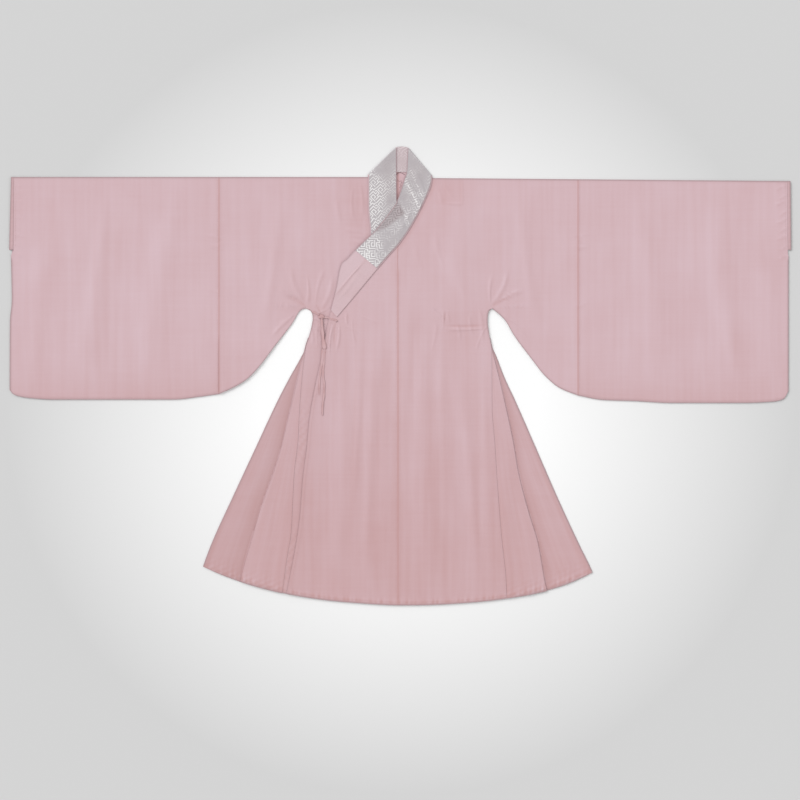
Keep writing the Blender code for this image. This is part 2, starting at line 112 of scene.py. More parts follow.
def bell(distance: Array, width: float) -> Array:
    """Give a bell curve that is 1 at distance 0 and a third at one width."""
    return np.exp(-((distance / width) ** 2))


def fade(distance: Array, reach: float) -> Array:
    """Fall off to the positive side of a line, with one at and before it."""
    return np.exp(-np.maximum(distance, 0.0) / reach)


def even(start: float, end: float, count: int) -> Array:
    """Give the ends of count even steps."""
    return start + (end - start) * np.arange(count + 1) / count


def hermite(t: Array, start: Array, leave: Array, end: Array, arrive: Array) -> Array:
    """Give the smooth curve from start to end that leaves and arrives at these slopes."""
    return (
        start * (2 * t**3 - 3 * t**2 + 1)
        + leave * (t**3 - 2 * t**2 + t)
        + end * (3 * t**2 - 2 * t**3)
        + arrive * (t**3 - t**2)
    )


@dataclass(frozen=True)
class Profile:
    """A smooth curve through a short table that doesn't overshoot its rows.

    Attributes:
        rows: (key, value) pairs with rising keys.
    """

    rows: Rows

    def __call__(self, key: Array | float) -> Array:
        """Read the curve at each key, held level beyond the table's ends."""
        x = np.array([row[0] for row in self.rows], float)
        y = np.array([row[1] for row in self.rows], float)
        gap = np.diff(x)
        slope = np.diff(y) / gap
        tangent = np.zeros(len(x))
        tangent[0], tangent[-1] = slope[0], slope[-1]
        same = slope[:-1] * slope[1:] > 0.0
        first, second = 2 * gap[1:] + gap[:-1], gap[1:] + 2 * gap[:-1]
        mean = (first + second) / np.where(
            same, first / np.where(same, slope[:-1], 1) + second / np.where(same, slope[1:], 1), 1
        )
        tangent[1:-1] = np.where(same, mean, 0.0)
        at = np.clip(np.asarray(key, float), x[0], x[-1])
        k = np.clip(np.searchsorted(x, at, side="right") - 1, 0, len(x) - 2)
        t = (at - x[k]) / gap[k]
        return hermite(t, y[k], tangent[k] * gap[k], y[k + 1], tangent[k + 1] * gap[k])


def spread(start: float, end: float, step: float, edges: Sequence[float] = ()) -> list[float]:
    """Place columns from start to end, close together at the edges that need detail.

    Args:
        start: The first place.
        end: The last place.
        step: The widest spacing.
        edges: Distances in from both ends where a column also stands.

    Returns:
        The places in order, with both ends.
    """
    count = max(2, math.ceil((end - start) / step) + 1)
    found = set(np.round(np.linspace(start, end, count), 3))
    for inset in edges:
        found |= {round(start + inset, 3), round(end - inset, 3)}
    ordered = sorted(found)
    kept = [ordered[0]]
    for place in ordered[1:-1]:
        if place - kept[-1] > 0.9 and end - place > 0.9:
            kept.append(place)
    return [*kept, end]


def graded(
    start: float, end: float, count: int, zones: Sequence[tuple[float, float, float]]
) -> Array:
    """Share rows out between 0 and 1, closer together in some zones.

    Args:
        start: Where the first row lies.
        end: Where the last row lies.
        count: How many steps there are.
        zones: Where a zone begins, where it ends and how many times closer its rows are.

    Returns:
        Each row's share of the way from start to end.
    """
    fine = np.linspace(start, end, 1601)
    density = np.ones(len(fine))
    for low, high, times in zones:
        inside = rise(fine, low - 20.0, low) * (1.0 - rise(fine, high, high + 20.0))
        density = density + (times - 1.0) * inside
    total = np.concatenate([[0.0], np.cumsum(density[1:] + density[:-1])])
    places = np.interp(np.linspace(0.0, total[-1], count + 1), total, fine)
    return (places - start) / (end - start)


def by_side(right: Rows, left: Rows) -> dict[Side, Profile]:
    """Give each side the curve through its own rows."""
    return {Side.RIGHT: Profile(right), Side.LEFT: Profile(left)}


@dataclass(frozen=True)
class RobePlan:
    """The robe's outlines and layer heights.

    They are the solids' own, apart from the hem, the armpits and the gores' tops, which
    follow the cloth up to 12 mm more closely here.
    """

    hem_v: float = 1158.0
    hem_rise: float = 84.0
    hem_reach: float = 500.0
    hem_power: float = 2.3
    neck_half: float = 85.0
    neck_rise: float = 13.0
    side_seams: ClassVar[dict[Side, Profile]] = by_side(
        ((355, 254), (356, 250), (359, 244.5), (364, 240), (371, 237), (382, 236), (402, 239),
         (421, 243.5), (454, 253), (518, 262), (618, 271), (718, 276), (791, 285), (881, 290),
         (960, 294), (1026, 305), (1140, 320)),
        ((355, 248), (356, 245), (359, 241.5), (365, 238.5), (375, 236.5), (391, 236),
         (427, 240.5), (475, 247), (624, 248), (713, 255), (810, 261), (904, 268), (977, 274),
         (1077, 285), (1150, 288)),
    )
    underarms: ClassVar[dict[Side, Profile]] = by_side(
        ((254, 355), (263, 357), (270, 361), (277, 370), (285, 385), (300, 407), (324, 438),
         (338, 456), (384, 516), (416, 548), (449, 568), (489, 586)),
        ((248, 355), (272, 375), (286, 391), (305, 424), (353, 489), (391, 537), (431, 570),
         (480, 590)),
    )
    sleeve_bottoms: ClassVar[dict[Side, Profile]] = by_side(
        ((489, 586), (546, 594), (611, 601), (935, 601), (1000, 597), (1030, 592), (1045, 586),
         (1054, 575)),
        ((480, 590), (548, 602), (634, 605), (731, 610), (925, 610), (1010, 606), (1035, 599),
         (1048, 578)),
    )
    sleeve_ends: ClassVar[dict[Side, Profile]] = by_side(
        ((0, 1042), (200, 1044), (210, 1050), (332, 1048), (391, 1053), (600, 1054)),
        ((0, 1044), (207, 1046), (215, 1048), (600, 1048)),
    )
    facing_ends: ClassVar[dict[Side, Profile]] = by_side(
        ((0, 1050), (197, 1055)), ((0, 1053), (210, 1055))
    )
    gore_edges: ClassVar[dict[Side, Profile]] = by_side(
        ((434, 246), (455, 253.5), (467, 258), (500, 275), (537, 296), (602, 330), (732, 391),
         (861, 451), (991, 510), (1056, 534), (1100, 547)),
        ((434, 241.5), (464, 250.5), (480, 258), (537, 280), (602, 310), (732, 367), (861, 423),
         (991, 483), (1061, 517), (1100, 532)),
    )
    gore_folds: ClassVar[dict[Side, Profile]] = by_side(
        ((434, 245), (470, 257), (520, 271), (591, 288), (670, 307), (730, 321), (803, 344),
         (887, 374), (965, 397), (1072, 427), (1120, 437)),
        ((434, 241), (470, 249), (493, 255), (601, 281), (713, 305), (796, 319), (894, 344),
         (988, 372), (1093, 391), (1130, 400)),
    )
    hem_swing: Profile = Profile(
        ((-560, -5), (-459, -5.9), (-270, -5.9), (-135, -5.5), (0, -2), (135, -1.5),
         (270, 2.4), (405, 6.6), (486, 4.6), (560, 3))
    )
    lapel_edge: Profile = Profile(
        ((240, 160), (273, 164), (327, 176), (359, 187), (472, 209), (579, 232), (663, 246),
         (731, 252), (809, 262), (921, 271), (1140, 309))
    )

    def sleeve_seam(self, side: Side) -> float:
        """Give the sleeve seam's distance out."""
        return self.underarms[side].rows[-1][0]

    def hem(self, u: Array | float) -> Array:
        """Give the hem's distance down from the shoulder line at u."""
        even = self.hem_v - self.hem_rise * (np.abs(u) / self.hem_reach) ** self.hem_power
        return even + self.hem_swing(u)

    def back_neck(self, u: Array | float) -> Array:
        """Give the back neckline, a shallow arc just above the shoulder line."""
        return self.neck_rise * ((np.asarray(u, float) / self.neck_half) ** 2 - 1.0)

    def shoulder_top(self, side: Side, d: Array | float) -> Array:
        """Give the top fold, which on the left lies a little lower and slopes."""
        if side is Side.RIGHT:
            return np.zeros_like(np.asarray(d, float))
        return 3.0 + 8.0 * np.maximum(0.0, np.asarray(d, float) - 90.0) / 960.0

    def over_collar(self, u: Array, v: Array) -> Array:
        """Share by which the outer front lies over the hidden end of the collar."""
        beside = 1.0 - rise(u, 165.0, 240.0) - rise(-u, 100.0, 165.0)
        return rise(v, 0.0, 80.0) * (1.0 - rise(v, 330.0, 450.0)) * np.maximum(0.0, beside)

    def outer_front(self, u: Array, v: Array) -> Array:
        """Give the middle of the outer front's cloth, left body and lapel alike."""
        lift = 2.2 * rise(v, 20.0, 110.0) * (1.0 - rise(u, 250.0, 420.0))
        edge = self.side_seams[Side.RIGHT](v)
        near_edge = rise(-u, edge - 95.0, edge - 20.0) * rise(v, 400.0, 480.0)
        return FRONT_Z + lift + 1.9 * self.over_collar(u, v) + 1.5 * near_edge

    def right_front(self, u: Array, v: Array) -> Array:
        """Give the middle of the inner front, which climbs to the gore at its side."""
        edge = self.side_seams[Side.RIGHT](v)
        climb = rise(-u, edge - 60.0, edge) * rise(v, 400.0, 480.0)
        return FRONT_Z + (LEAF_Z[0] - FRONT_Z) * climb


PLAN = RobePlan()


# The way to the key light in the plan, and the shade painted for each millimetre of crease, on its
# side away from the light and in a trough's middle
TOWARDS_LIGHT = (-0.78, -0.62)
LEE_PAINTED_SHADE = 0.55
TROUGH_PAINTED_SHADE = 0.75


class CreaseShape(Enum):
    """How a crease is shaped across its line."""

    RIDGE = "ridge"
    TROUGH = "trough"


@dataclass(frozen=True)
class Crease:
    """One crease, given in a table.

    Attributes:
        u0: u of its start.
        v0: v of its start.
        u1: u of its end.
        v1: v of its end.
        width: Half its width across.
        height: How far it stands up or sinks.
        bow: How far its middle bends to one side.
        shape: Its form across the line.
    """

    u0: float
    v0: float
    u1: float
    v1: float
    width: float
    height: float
    bow: float = 0.0
    shape: CreaseShape = CreaseShape.RIDGE

    def near(self, u: Array, v: Array) -> bool:
        """Say whether any of these places can be on the crease."""
        reach = 4.0 * self.width + abs(self.bow)
        return bool(
            np.min(u) < max(self.u0, self.u1) + reach
            and np.max(u) > min(self.u0, self.u1) - reach
            and np.min(v) < max(self.v0, self.v1) + reach
            and np.max(v) > min(self.v0, self.v1) - reach
        )

    def at(self, u: Array, v: Array) -> tuple[Array, Array]:
        """Give what this crease adds to the cloth at each place.

        Args:
            u: u of the places.
            v: v of the places.

        Returns:
            The height to add, and the painted shade: deeper colour on the side away from the key
                light and in a trough's middle.
        """
        run = math.hypot(self.u1 - self.u0, self.v1 - self.v0)
        du, dv = (self.u1 - self.u0) / run, (self.v1 - self.v0) / run
        along = ((u - self.u0) * du + (v - self.v0) * dv) / run
        across = (u - self.u0) * -dv + (v - self.v0) * du
        across = across - self.bow * 4.0 * along * (1.0 - along)
        ends = rise(along, -0.08, 0.25) * (1.0 - rise(along, 0.7, 1.08))
        width = self.width * (0.75 + 0.35 * np.sin(3.0 * along + self.u0))
        share = across / width
        form = (1.0 - 0.55 * share**2) * np.exp(-(share**2) * 0.9)
        sunk = self.shape is CreaseShape.TROUGH
        sign = -1.0 if sunk else 1.0
        # Painted shade: the colour deepens on the crease's side away from the key light, and in a
        # trough's middle
        away_from_light = dv * TOWARDS_LIGHT[0] - du * TOWARDS_LIGHT[1]
        painted_shade = sign * away_from_light * share * np.exp(-(share**2)) * LEE_PAINTED_SHADE
        if sunk:
            painted_shade = painted_shade + TROUGH_PAINTED_SHADE * np.exp(-((1.3 * share) ** 2))
        return sign * self.height * ends * form, self.height * ends * painted_shade


def creases(rows: Sequence[Sequence[float]], shape: CreaseShape) -> list[Crease]:
    """Make creases from rows of u0, v0, u1, v1, width, height, bow."""
    return [Crease(*row, shape=shape) for row in rows]


@dataclass(frozen=True)
class Relief:
    """All the creases and soft folds of one layer of cloth."""

    lines: tuple[Crease, ...]

    def __call__(self, u: Array, v: Array) -> tuple[Array, Array]:
        """Add up the creases' heights and the shade painted along them at each place."""
        height = np.zeros(np.broadcast(u, v).shape)
        painted_shade = height.copy()
        for line in self.lines:
            if line.near(u, v):
                more, more_shade = line.at(u, v)
                height, painted_shade = height + more, painted_shade + more_shade
        return height, painted_shade


# u0, v0, u1, v1, half width, height, bow
SOFT_FOLDS = (
    (-60, 420, -88, 1125, 34, 1.0, 8),
    (-150, 560, -176, 1110, 30, 0.85, -6),
    (62, 430, 78, 1130, 36, 1.1, 6),
    (160, 520, 205, 1115, 34, 1.0, -8),
    (140, 190, 175, 330, 30, 0.65, 5),
    (330, 60, 372, 420, 36, 0.9, 9),
    (-330, 60, -372, 420, 36, 0.9, -9),
    (-610, 70, -680, 560, 44, 1, 12),
    (-800, 60, -862, 560, 46, 1.15, -10),
    (640, 70, 700, 570, 44, 1, -12),
    (850, 60, 915, 570, 46, 1.15, 10),
    (-960, 180, -985, 560, 34, 0.7, 6),
    (980, 200, 1004, 560, 34, 0.7, -6),
    (20, 300, 8, 700, 26, 0.65, 4),
    (-110, 430, -128, 900, 22, 0.7, -5),
    (112, 460, 130, 980, 24, 0.7, 5),
    (225, 560, 240, 1090, 20, 0.65, -3),
)
SLEEVE_CREASES = (
    (-1040, 18, -1012, 30, 3.2, 1.2, 1),
    (-1041, 38, -1018, 55, 3.0, 1, -1),
    (-1040, 62, -1008, 72, 3.6, 1.3, 2),
    (-1041, 84, -1020, 101, 3.0, 1.1, 0),
    (-1041, 108, -1010, 117, 3.4, 1.2, -2),
    (-1042, 131, -1019, 149, 3.0, 1, 1),
    (-1042, 152, -1012, 163, 3.4, 1.3, 1),
    (-1042, 176, -1021, 193, 3.2, 1.1, -1),
    (-1046, 204, -1015, 214, 4.0, 1.3, 2),
    (1042, 24, 1013, 35, 3.2, 1.2, 1),
    (1043, 47, 1020, 61, 3.0, 1, -1),
    (1042, 66, 1011, 78, 3.6, 1.3, 2),
    (1043, 92, 1022, 105, 3.0, 1.1, 0),
    (1043, 113, 1012, 124, 3.4, 1.2, -2),
    (1044, 137, 1021, 152, 3.0, 1, 1),
    (1044, 160, 1014, 170, 3.4, 1.3, 1),
    (1045, 184, 1020, 199, 3.2, 1.1, -1),
    (1046, 214, 1016, 224, 4.0, 1.3, 2),
    (-520, 158, -468, 164, 4.5, 1.1, 2),
    (-512, 172, -474, 175, 4.0, 0.9, -1),
    (-516, 186, -470, 183, 4.5, 1, 1),
    (-520, 300, -480, 312, 6.0, 0.75, 2),
    (-505, 430, -470, 447, 6.0, 0.9, -2),
    (462, 160, 512, 154, 4.5, 1.1, 2),
    (468, 175, 505, 179, 4.0, 0.9, -1),
    (458, 190, 508, 188, 4.5, 1, 1),
    (466, 350, 505, 340, 6.0, 0.75, 2),
    (-475, 452, -444, 466, 5.0, 1, 2),
    (-472, 468, -450, 484, 4.5, 0.9, -2),
    (-468, 486, -440, 498, 5.0, 1, 1),
    (442, 442, 470, 456, 5.0, 1, 2),
    (446, 462, 476, 478, 4.5, 0.9, -2),
    (440, 484, 468, 500, 5.0, 1, 1),
)
ARMPIT_CREASES = (
    (-262, 346, -338, 302, 5.0, 1.8, 6),
    (-258, 338, -296, 246, 5.5, 1.6, -8),
    (-268, 356, -352, 350, 4.5, 1.6, 5),
    (-284, 370, -330, 398, 4.0, 1.4, -3),
    (-296, 386, -346, 430, 4.5, 1.2, 4),
    (-250, 342, -252, 268, 5.0, 1.2, 4),
    (256, 346, 334, 306, 5.0, 1.8, -6),
    (252, 338, 290, 250, 5.5, 1.6, 8),
    (262, 356, 348, 352, 4.5, 1.6, -5),
    (278, 372, 326, 400, 4.0, 1.6, 3),
    (292, 388, 342, 432, 4.5, 1.2, -4),
    (244, 342, 247, 268, 5.0, 1.2, -4),
)
INNER_FRONT_CREASES = (
    (-236, 372, -190, 352, 4.0, 1.4, 3),
    (-238, 382, -200, 398, 3.6, 1.6, -3),
    (-236, 392, -214, 428, 3.6, 1.6, 3),
    (-240, 404, -236, 452, 4.0, 1.2, -2),
    (-224, 398, -222, 470, 4.0, 1.2, 2),
    (-150, 142, -96, 146, 4.5, 1.2, 2),
    (-146, 158, -98, 163, 4.0, 1, -2),
    (-140, 172, -92, 178, 5.0, 1.2, 2),
    (-128, 30, -124, 120, 7.0, 1, 5),
    (-108, 20, -102, 110, 6.0, 1, -3),
    (-170, 60, -160, 128, 7.0, 0.8, 3),
    (-205, 250, -228, 350, 7.0, 1, 6),
    (-182, 270, -214, 360, 6.0, 1, -6),
)
OUTER_FRONT_CREASES = (
    (-144, 366, -142, 402, 3.5, 1.3, 2),
    (-180, 396, -190, 486, 4.0, 1.45, 4),
    (-164, 396, -172, 470, 3.6, 1.3, -3),
    (-128, 380, -120, 452, 4.5, 0.95, 4),
    (-196, 404, -210, 520, 4.5, 1.1, 3),
    (-108, 372, -60, 392, 5.0, 0.65, 3),
    (-152, 402, -112, 424, 4.5, 0.8, -3),
    (121, 411, 236, 408, 4.0, 1.45, 3),
    (116, 358, 114, 414, 3.6, 1.3, -2),
    (86, 346, 122, 386, 4.0, 1.3, 3),
    (130, 352, 133, 396, 3.4, 0.95, 2),
    (152, 396, 160, 446, 4.5, 1.1, -4),
    (188, 372, 196, 428, 4.5, 0.95, 3),
    (214, 356, 222, 452, 5.0, 1.1, -3),
    (236, 400, 206, 470, 4.5, 1.1, 5),
    (96, 392, 84, 470, 5.5, 0.8, -4),
    (118, 70, 172, 73, 4.0, 1.3, 2),
    (167, 8, 168, 74, 3.6, 0.95, -1),
    (118, 16, 150, 60, 6.0, 0.8, 4),
    (100, 30, 112, 78, 5.0, 0.8, -3),
    (40, 190, 66, 260, 8.0, 0.8, 5),
    (96, 150, 120, 250, 9.0, 0.8, 6),
)
TROUGHS = (
    (-252, 352, -310, 322, 5.0, 0.8, 4),
    (246, 352, 304, 324, 5.0, 0.8, -4),
    (-228, 342, -213, 371, 2.8, 1, 0),
    (-222, 388, -204, 446, 3.2, 0.7, 2),
    (-172, 392, -178, 450, 3.2, 0.8, 2),
    (126, 402, 230, 400, 3.2, 0.7, 2),
    (122, 364, 120, 410, 3.0, 0.7, 1),
    (-300, 640, -380, 1060, 12.0, 0.7, 8),
    (300, 640, 372, 1060, 12.0, 0.7, -8),
)
GUARD_CREASES = (
    (6, -10, 62, 100, 5.0, 2.1, -4),
    (32, -30, 70, 60, 6.0, 1.4, -3),
    (30, 84, -6, 150, 8.0, 1.25, -4),
    (-2, 60, 14, 140, 7.0, 1.25, 5),
    (-70, 178, -34, 214, 8.0, 0.85, 2),
)
BAND_CREASES = ((-96, 229, -172, 316, 3.2, 1.5, 2), (-112, 262, -166, 330, 6.0, 0.75, -2))
COLLAR_WIDTH = 78.0
# The crease down the band below the guard, and the corners of the guard's painted dark sheen
BAND_FOLD = ((-98.0, 230.0), (-169.0, 313.0))
DARK_SHEEN_CORNERS = ((-9.0, 62.0), (-72.0, 150.0), (-40.0, 140.0), (12.0, 100.0))
# u, v, reach in u, reach in v, amount: sheen turned dark, then where the fret glints
SHEEN_UNDER = ((-30.0, -30.0, 30.0, 60.0, 0.35), (-25.0, 60.0, 22.0, 60.0, 0.25))
SHEEN_OVER = (
    (48.0, -20.0, 40.0, 46.0, 0.30),
    (10.0, 70.0, 26.0, 50.0, 0.30),
    (-10.0, 175.0, 30.0, 40.0, 0.20),
)
GLINT_UNDER = (
    (-70.0, 60.0, 30.0, 70.0, 0.75),
    (-40.0, 30.0, 30.0, 40.0, 0.35),
    (-30.0, -50.0, 40.0, 40.0, -0.45),
    (-20.0, 110.0, 26.0, 30.0, -0.2),
)
GLINT_OVER = (
    (-90.0, 212.0, 36.0, 42.0, 1.15),
    (-34.0, 196.0, 20.0, 34.0, -0.25),
    (66.0, 40.0, 14.0, 50.0, -0.1),
    (18.0, 100.0, 8.0, 60.0, 0.35),
    (-14.0, 190.0, 12.0, 50.0, 0.35),
    (20.0, 20.0, 40.0, 50.0, -0.18),
    (20.0, 150.0, 40.0, 60.0, -0.22),
)
# u0, v0, u1, v1, half width, amount: satin highlights along the guard's soft folds
GLINT_LINES = (
    (9.0, 2.0, 56.0, 90.0, 2.8, 2.0),
    (27.0, -20.0, 64.0, 62.0, 3.0, 0.9),
    (2.0, 70.0, 20.0, 128.0, 4.5, 1.0),
    (-60.0, 176.0, -38.0, 214.0, 5.0, 0.7),
)
# u, v, reach in u, reach in v, how much deeper the cloth's colour is
PATCHES = (
    (-120, 60, 44, 90, 0.24),
    (-100, 165, 50, 60, 0.18),
    (122, 34, 56, 46, 0.28),
    (60, 190, 70, 90, 0.16),
    (-220, 400, 60, 110, 0.26),
    (-160, 430, 60, 90, 0.08),
    (150, 410, 110, 60, 0.18),
    (-264, 350, 60, 50, 0.22),
    (258, 352, 60, 50, 0.20),
    (-40, 660, 110, 260, 0.10),
    (60, 800, 150, 330, 0.14),
    (-250, 900, 60, 300, 0.18),
    (270, 900, 60, 300, 0.16),
    (-120, 980, 220, 220, 0.14),
    (130, 1060, 260, 120, 0.12),
    (-640, 590, 420, 40, 0.16),
    (760, 600, 320, 40, 0.16),
    (-700, 300, 420, 260, -0.10),
    (760, 300, 420, 260, -0.08),
)
# u0, v0, u1, v1, amount: doubled cloth that shows through with a straight outline
DOUBLED = (
    (-174.0, 2.0, -78.0, 76.0, 0.14),
    (-140.0, 60.0, -84.0, 132.0, 0.10),
    (84.0, 6.0, 171.0, 75.0, 0.20),
    (60.0, 60.0, 120.0, 140.0, 0.08),
    (120.0, 362.0, 236.0, 412.0, 0.10),
)


def patched(u: Array, v: Array, rows: Rows) -> Array:
    """Add up soft oval patches, rows of u, v, reach in u, reach in v and amount."""
    total = 0.0
    for cu, cv, reach_u, reach_v, amount in rows:
        total = total + amount * bell(np.hypot((u - cu) / reach_u, (v - cv) / reach_v), 1.0)
    return total


def tone_at(u: Array, v: Array) -> Array:
    """Say how much deeper than the plain sleeve the cloth's colour is at each place."""
    waist = 300.0 + 0.5 * np.maximum(v - 610.0, 0.0)
    skirt = 1.0 - rise(np.abs(u), waist, waist + 60.0)
    tone = 0.02 + 0.6 * skirt * rise(v, 330.0, 1080.0)
    tone = tone + patched(u, v, PATCHES)
    for u0, v0, u1, v1, amount in DOUBLED:
        inside_u = rise(u, u0 - 7.0, u0 + 7.0) * (1.0 - rise(u, u1 - 4.0, u1 + 4.0))
        inside_v = rise(v, v0 - 7.0, v0 + 7.0) * (1.0 - rise(v, v1 - 5.0, v1 + 5.0))
        tone = tone + amount * inside_u * inside_v
    return tone


HEM_DEPTH = 0.28
# Where the collar's seam allowance shows through the outer front, as u, v
COLLAR_ALLOWANCE = (
    (86.0, 11.0), (83.0, 26.0), (77.0, 42.0), (69.0, 60.0), (57.0, 85.0), (41.0, 115.0),
    (21.0, 149.0), (-4.0, 184.0), (-26.0, 208.0),
)


def line_gap(u: Array, v: Array, line: Sequence[tuple[float, float]]) -> Array:
    """Give each place's distance from a line of straight stretches."""
    nearest = np.full(np.broadcast(u, v).shape, 1e6)
    for (u0, v0), (u1, v1) in zip(line, line[1:]):
        square = (u1 - u0) ** 2 + (v1 - v0) ** 2
        share = np.clip(((u - u0) * (u1 - u0) + (v - v0) * (v1 - v0)) / square, 0.0, 1.0)
        gap = np.hypot(u - u0 - share * (u1 - u0), v - v0 - share * (v1 - v0))
        nearest = np.minimum(nearest, gap)
    return nearest


def seam_depth(off: Array) -> Array:
    """Deepen the colour on a seam's line and a little over its doubled cloth."""
    off = np.abs(off)
    return 1.5 * bell(off, 1.9) + 0.16 * (1.0 - rise(off, 7.0, 10.0))


def back_tone(u: Array, v: Array) -> Array:
    """Give the back's colour depth, with its centre seam, sleeve seams and turned hem."""
    tone = tone_at(u, v) + seam_depth(u - CENTRE_U)
    for side in Side:
        tone = tone + seam_depth(side.sign * u - PLAN.sleeve_seam(side))
    return tone + HEM_DEPTH * (1.0 - rise(PLAN.hem(u) - v, 9.0, 30.0))


def outline_dark(*distances: Array) -> Array:
    """Darken the robe's rim within a few millimetres of any of its outlines.

    Args:
        distances: Distances in from each outline.

    Returns:
        The darkness, 1 on the outline.
    """
    dark = 0.0
    for distance in distances:
        dark = np.maximum(dark, bell(np.maximum(distance, 0.0), 3.4))
    return dark


SOFT = tuple(creases(SOFT_FOLDS, CreaseShape.RIDGE))
SUNK = tuple(creases(TROUGHS, CreaseShape.TROUGH))
SLEEVE_LINES = tuple(creases(SLEEVE_CREASES, CreaseShape.RIDGE))
ARMPIT_LINES = tuple(creases(ARMPIT_CREASES, CreaseShape.RIDGE))
OUTER_RELIEF = Relief(
    SOFT + SUNK + SLEEVE_LINES + ARMPIT_LINES
    + tuple(creases(OUTER_FRONT_CREASES, CreaseShape.RIDGE))
)
INNER_RELIEF = Relief(
    SUNK + SLEEVE_LINES + ARMPIT_LINES
    + tuple(creases(INNER_FRONT_CREASES, CreaseShape.RIDGE))
    + tuple(line for line in SOFT if line.u0 < -240.0)
)
SLEEVE_RELIEF = Relief(SOFT + SLEEVE_LINES)


def hem_wave(u: Array) -> Array:
    """Give the uneven wave of the hem's puckers at each place along it."""
    fine = np.sin(u * 0.5 + 1.9 * np.sin(u * 0.047)) * (0.5 + 0.5 * np.sin(u * 0.083))
    return 0.75 * fine + 0.45 * np.sin(u * 0.24 + 2.3 * np.sin(u * 0.029))


def hem_tone_and_shade(u: Array, below: Array) -> Array:
    """Deepen the hem's doubled cloth, and paint light on its puckers' crests and shade between
    them.
    """
    depth = HEM_DEPTH * (1.0 - rise(below, 9.0, 13.0))
    # Painted light and shade: paler where the puckers rise, deeper where they sink
    return depth - 0.8 * hem_wave(u) * fade(np.abs(below - 7.0), 7.0)


def hem_pucker(u: Array, below: Array, height: float = 0.85) -> Array:
    """Pucker a narrow turned hem and the cloth just above it.

    Args:
        u: Place along the hem.
        below: Distance up from the hem's edge.
        height: Height of the puckers.

    Returns:
        The height to add, never below the cloth.
    """
    roll = 0.35 * (1.0 - rise(below, 9.0, 12.5))
    return roll + height * (0.5 + 0.5 * hem_wave(u)) * fade(np.abs(below - 6.0), 11.0)


def seam_pucker(along: Array, off: Array, height: float = 0.3) -> Array:
    """Raise the doubled cloth beside a seam and pucker it a little."""
    wave = np.sin(along * 0.27 + 1.7 * np.sin(along * 0.031))
    ridge = 0.28 * (1.0 - rise(off, 3.0, 4.6))
    return ridge + 1.7 * height * (0.5 + 0.5 * wave) * np.exp(-off / 9.0)


@dataclass
class Lattice:
    """Rows and columns of a cloth's middle, with normals, fabric places and tone.

    Attributes:
        points: rows by columns by (u, v, z).
        normals: rows by columns by (u, v, z) unit normals of the cloth's outer face.
        fabric: rows by columns by two places on the cloth, in millimetres.
        tone: rows by columns of colour depth.
        accent: rows by columns of a second value, such as how dark a rim is.
        there: rows by columns, whether there is cloth.
    """

    points: Array
    normals: Array
    fabric: Array
    tone: Array
    accent: Array
    there: Array

    @classmethod
    def from_columns(cls, columns: list[Lattice]) -> Lattice:
        """Join one-column lattices side by side."""
        return cls(
            *(
                np.concatenate([getattr(column, name) for column in columns], axis=1)
                for name in cls.__dataclass_fields__
            )
        )

    @classmethod
    def from_rows(cls, parts: list[Lattice]) -> Lattice:
        """Join lattices end to end, along their rows."""
        return cls(
            *(
                np.concatenate([getattr(part, name) for part in parts], axis=0)
                for name in cls.__dataclass_fields__
            )
        )

    def upside_down(self) -> Lattice:
        """Turn the order of the rows round."""
        return Lattice(*(getattr(self, name)[::-1] for name in self.__dataclass_fields__))


def to_world(points: Array) -> Array:
    """Turn plan places in millimetres into world places in metres."""
    world = np.empty_like(points)
    world[..., 0] = points[..., 0] * MM
    world[..., 1] = (SHOULDER_Y - points[..., 1]) * MM
    world[..., 2] = points[..., 2] * MM
    return world


def placed(name: str, data: bpy.types.ID) -> bpy.types.Object:
    """Put new data into the scene as an object."""
    made = bpy.data.objects.new(name, data)
    bpy.context.scene.collection.objects.link(made)
    return made


def set_values(mesh: bpy.types.Mesh, tone: Array, accent: Array) -> None:
    """Store the two colour values of every vertex."""
    for key, values in (("tone", tone), ("accent", accent)):
        attribute = mesh.attributes.new(key, "FLOAT", "POINT")
        attribute.data.foreach_set("value", values.astype(np.float32))


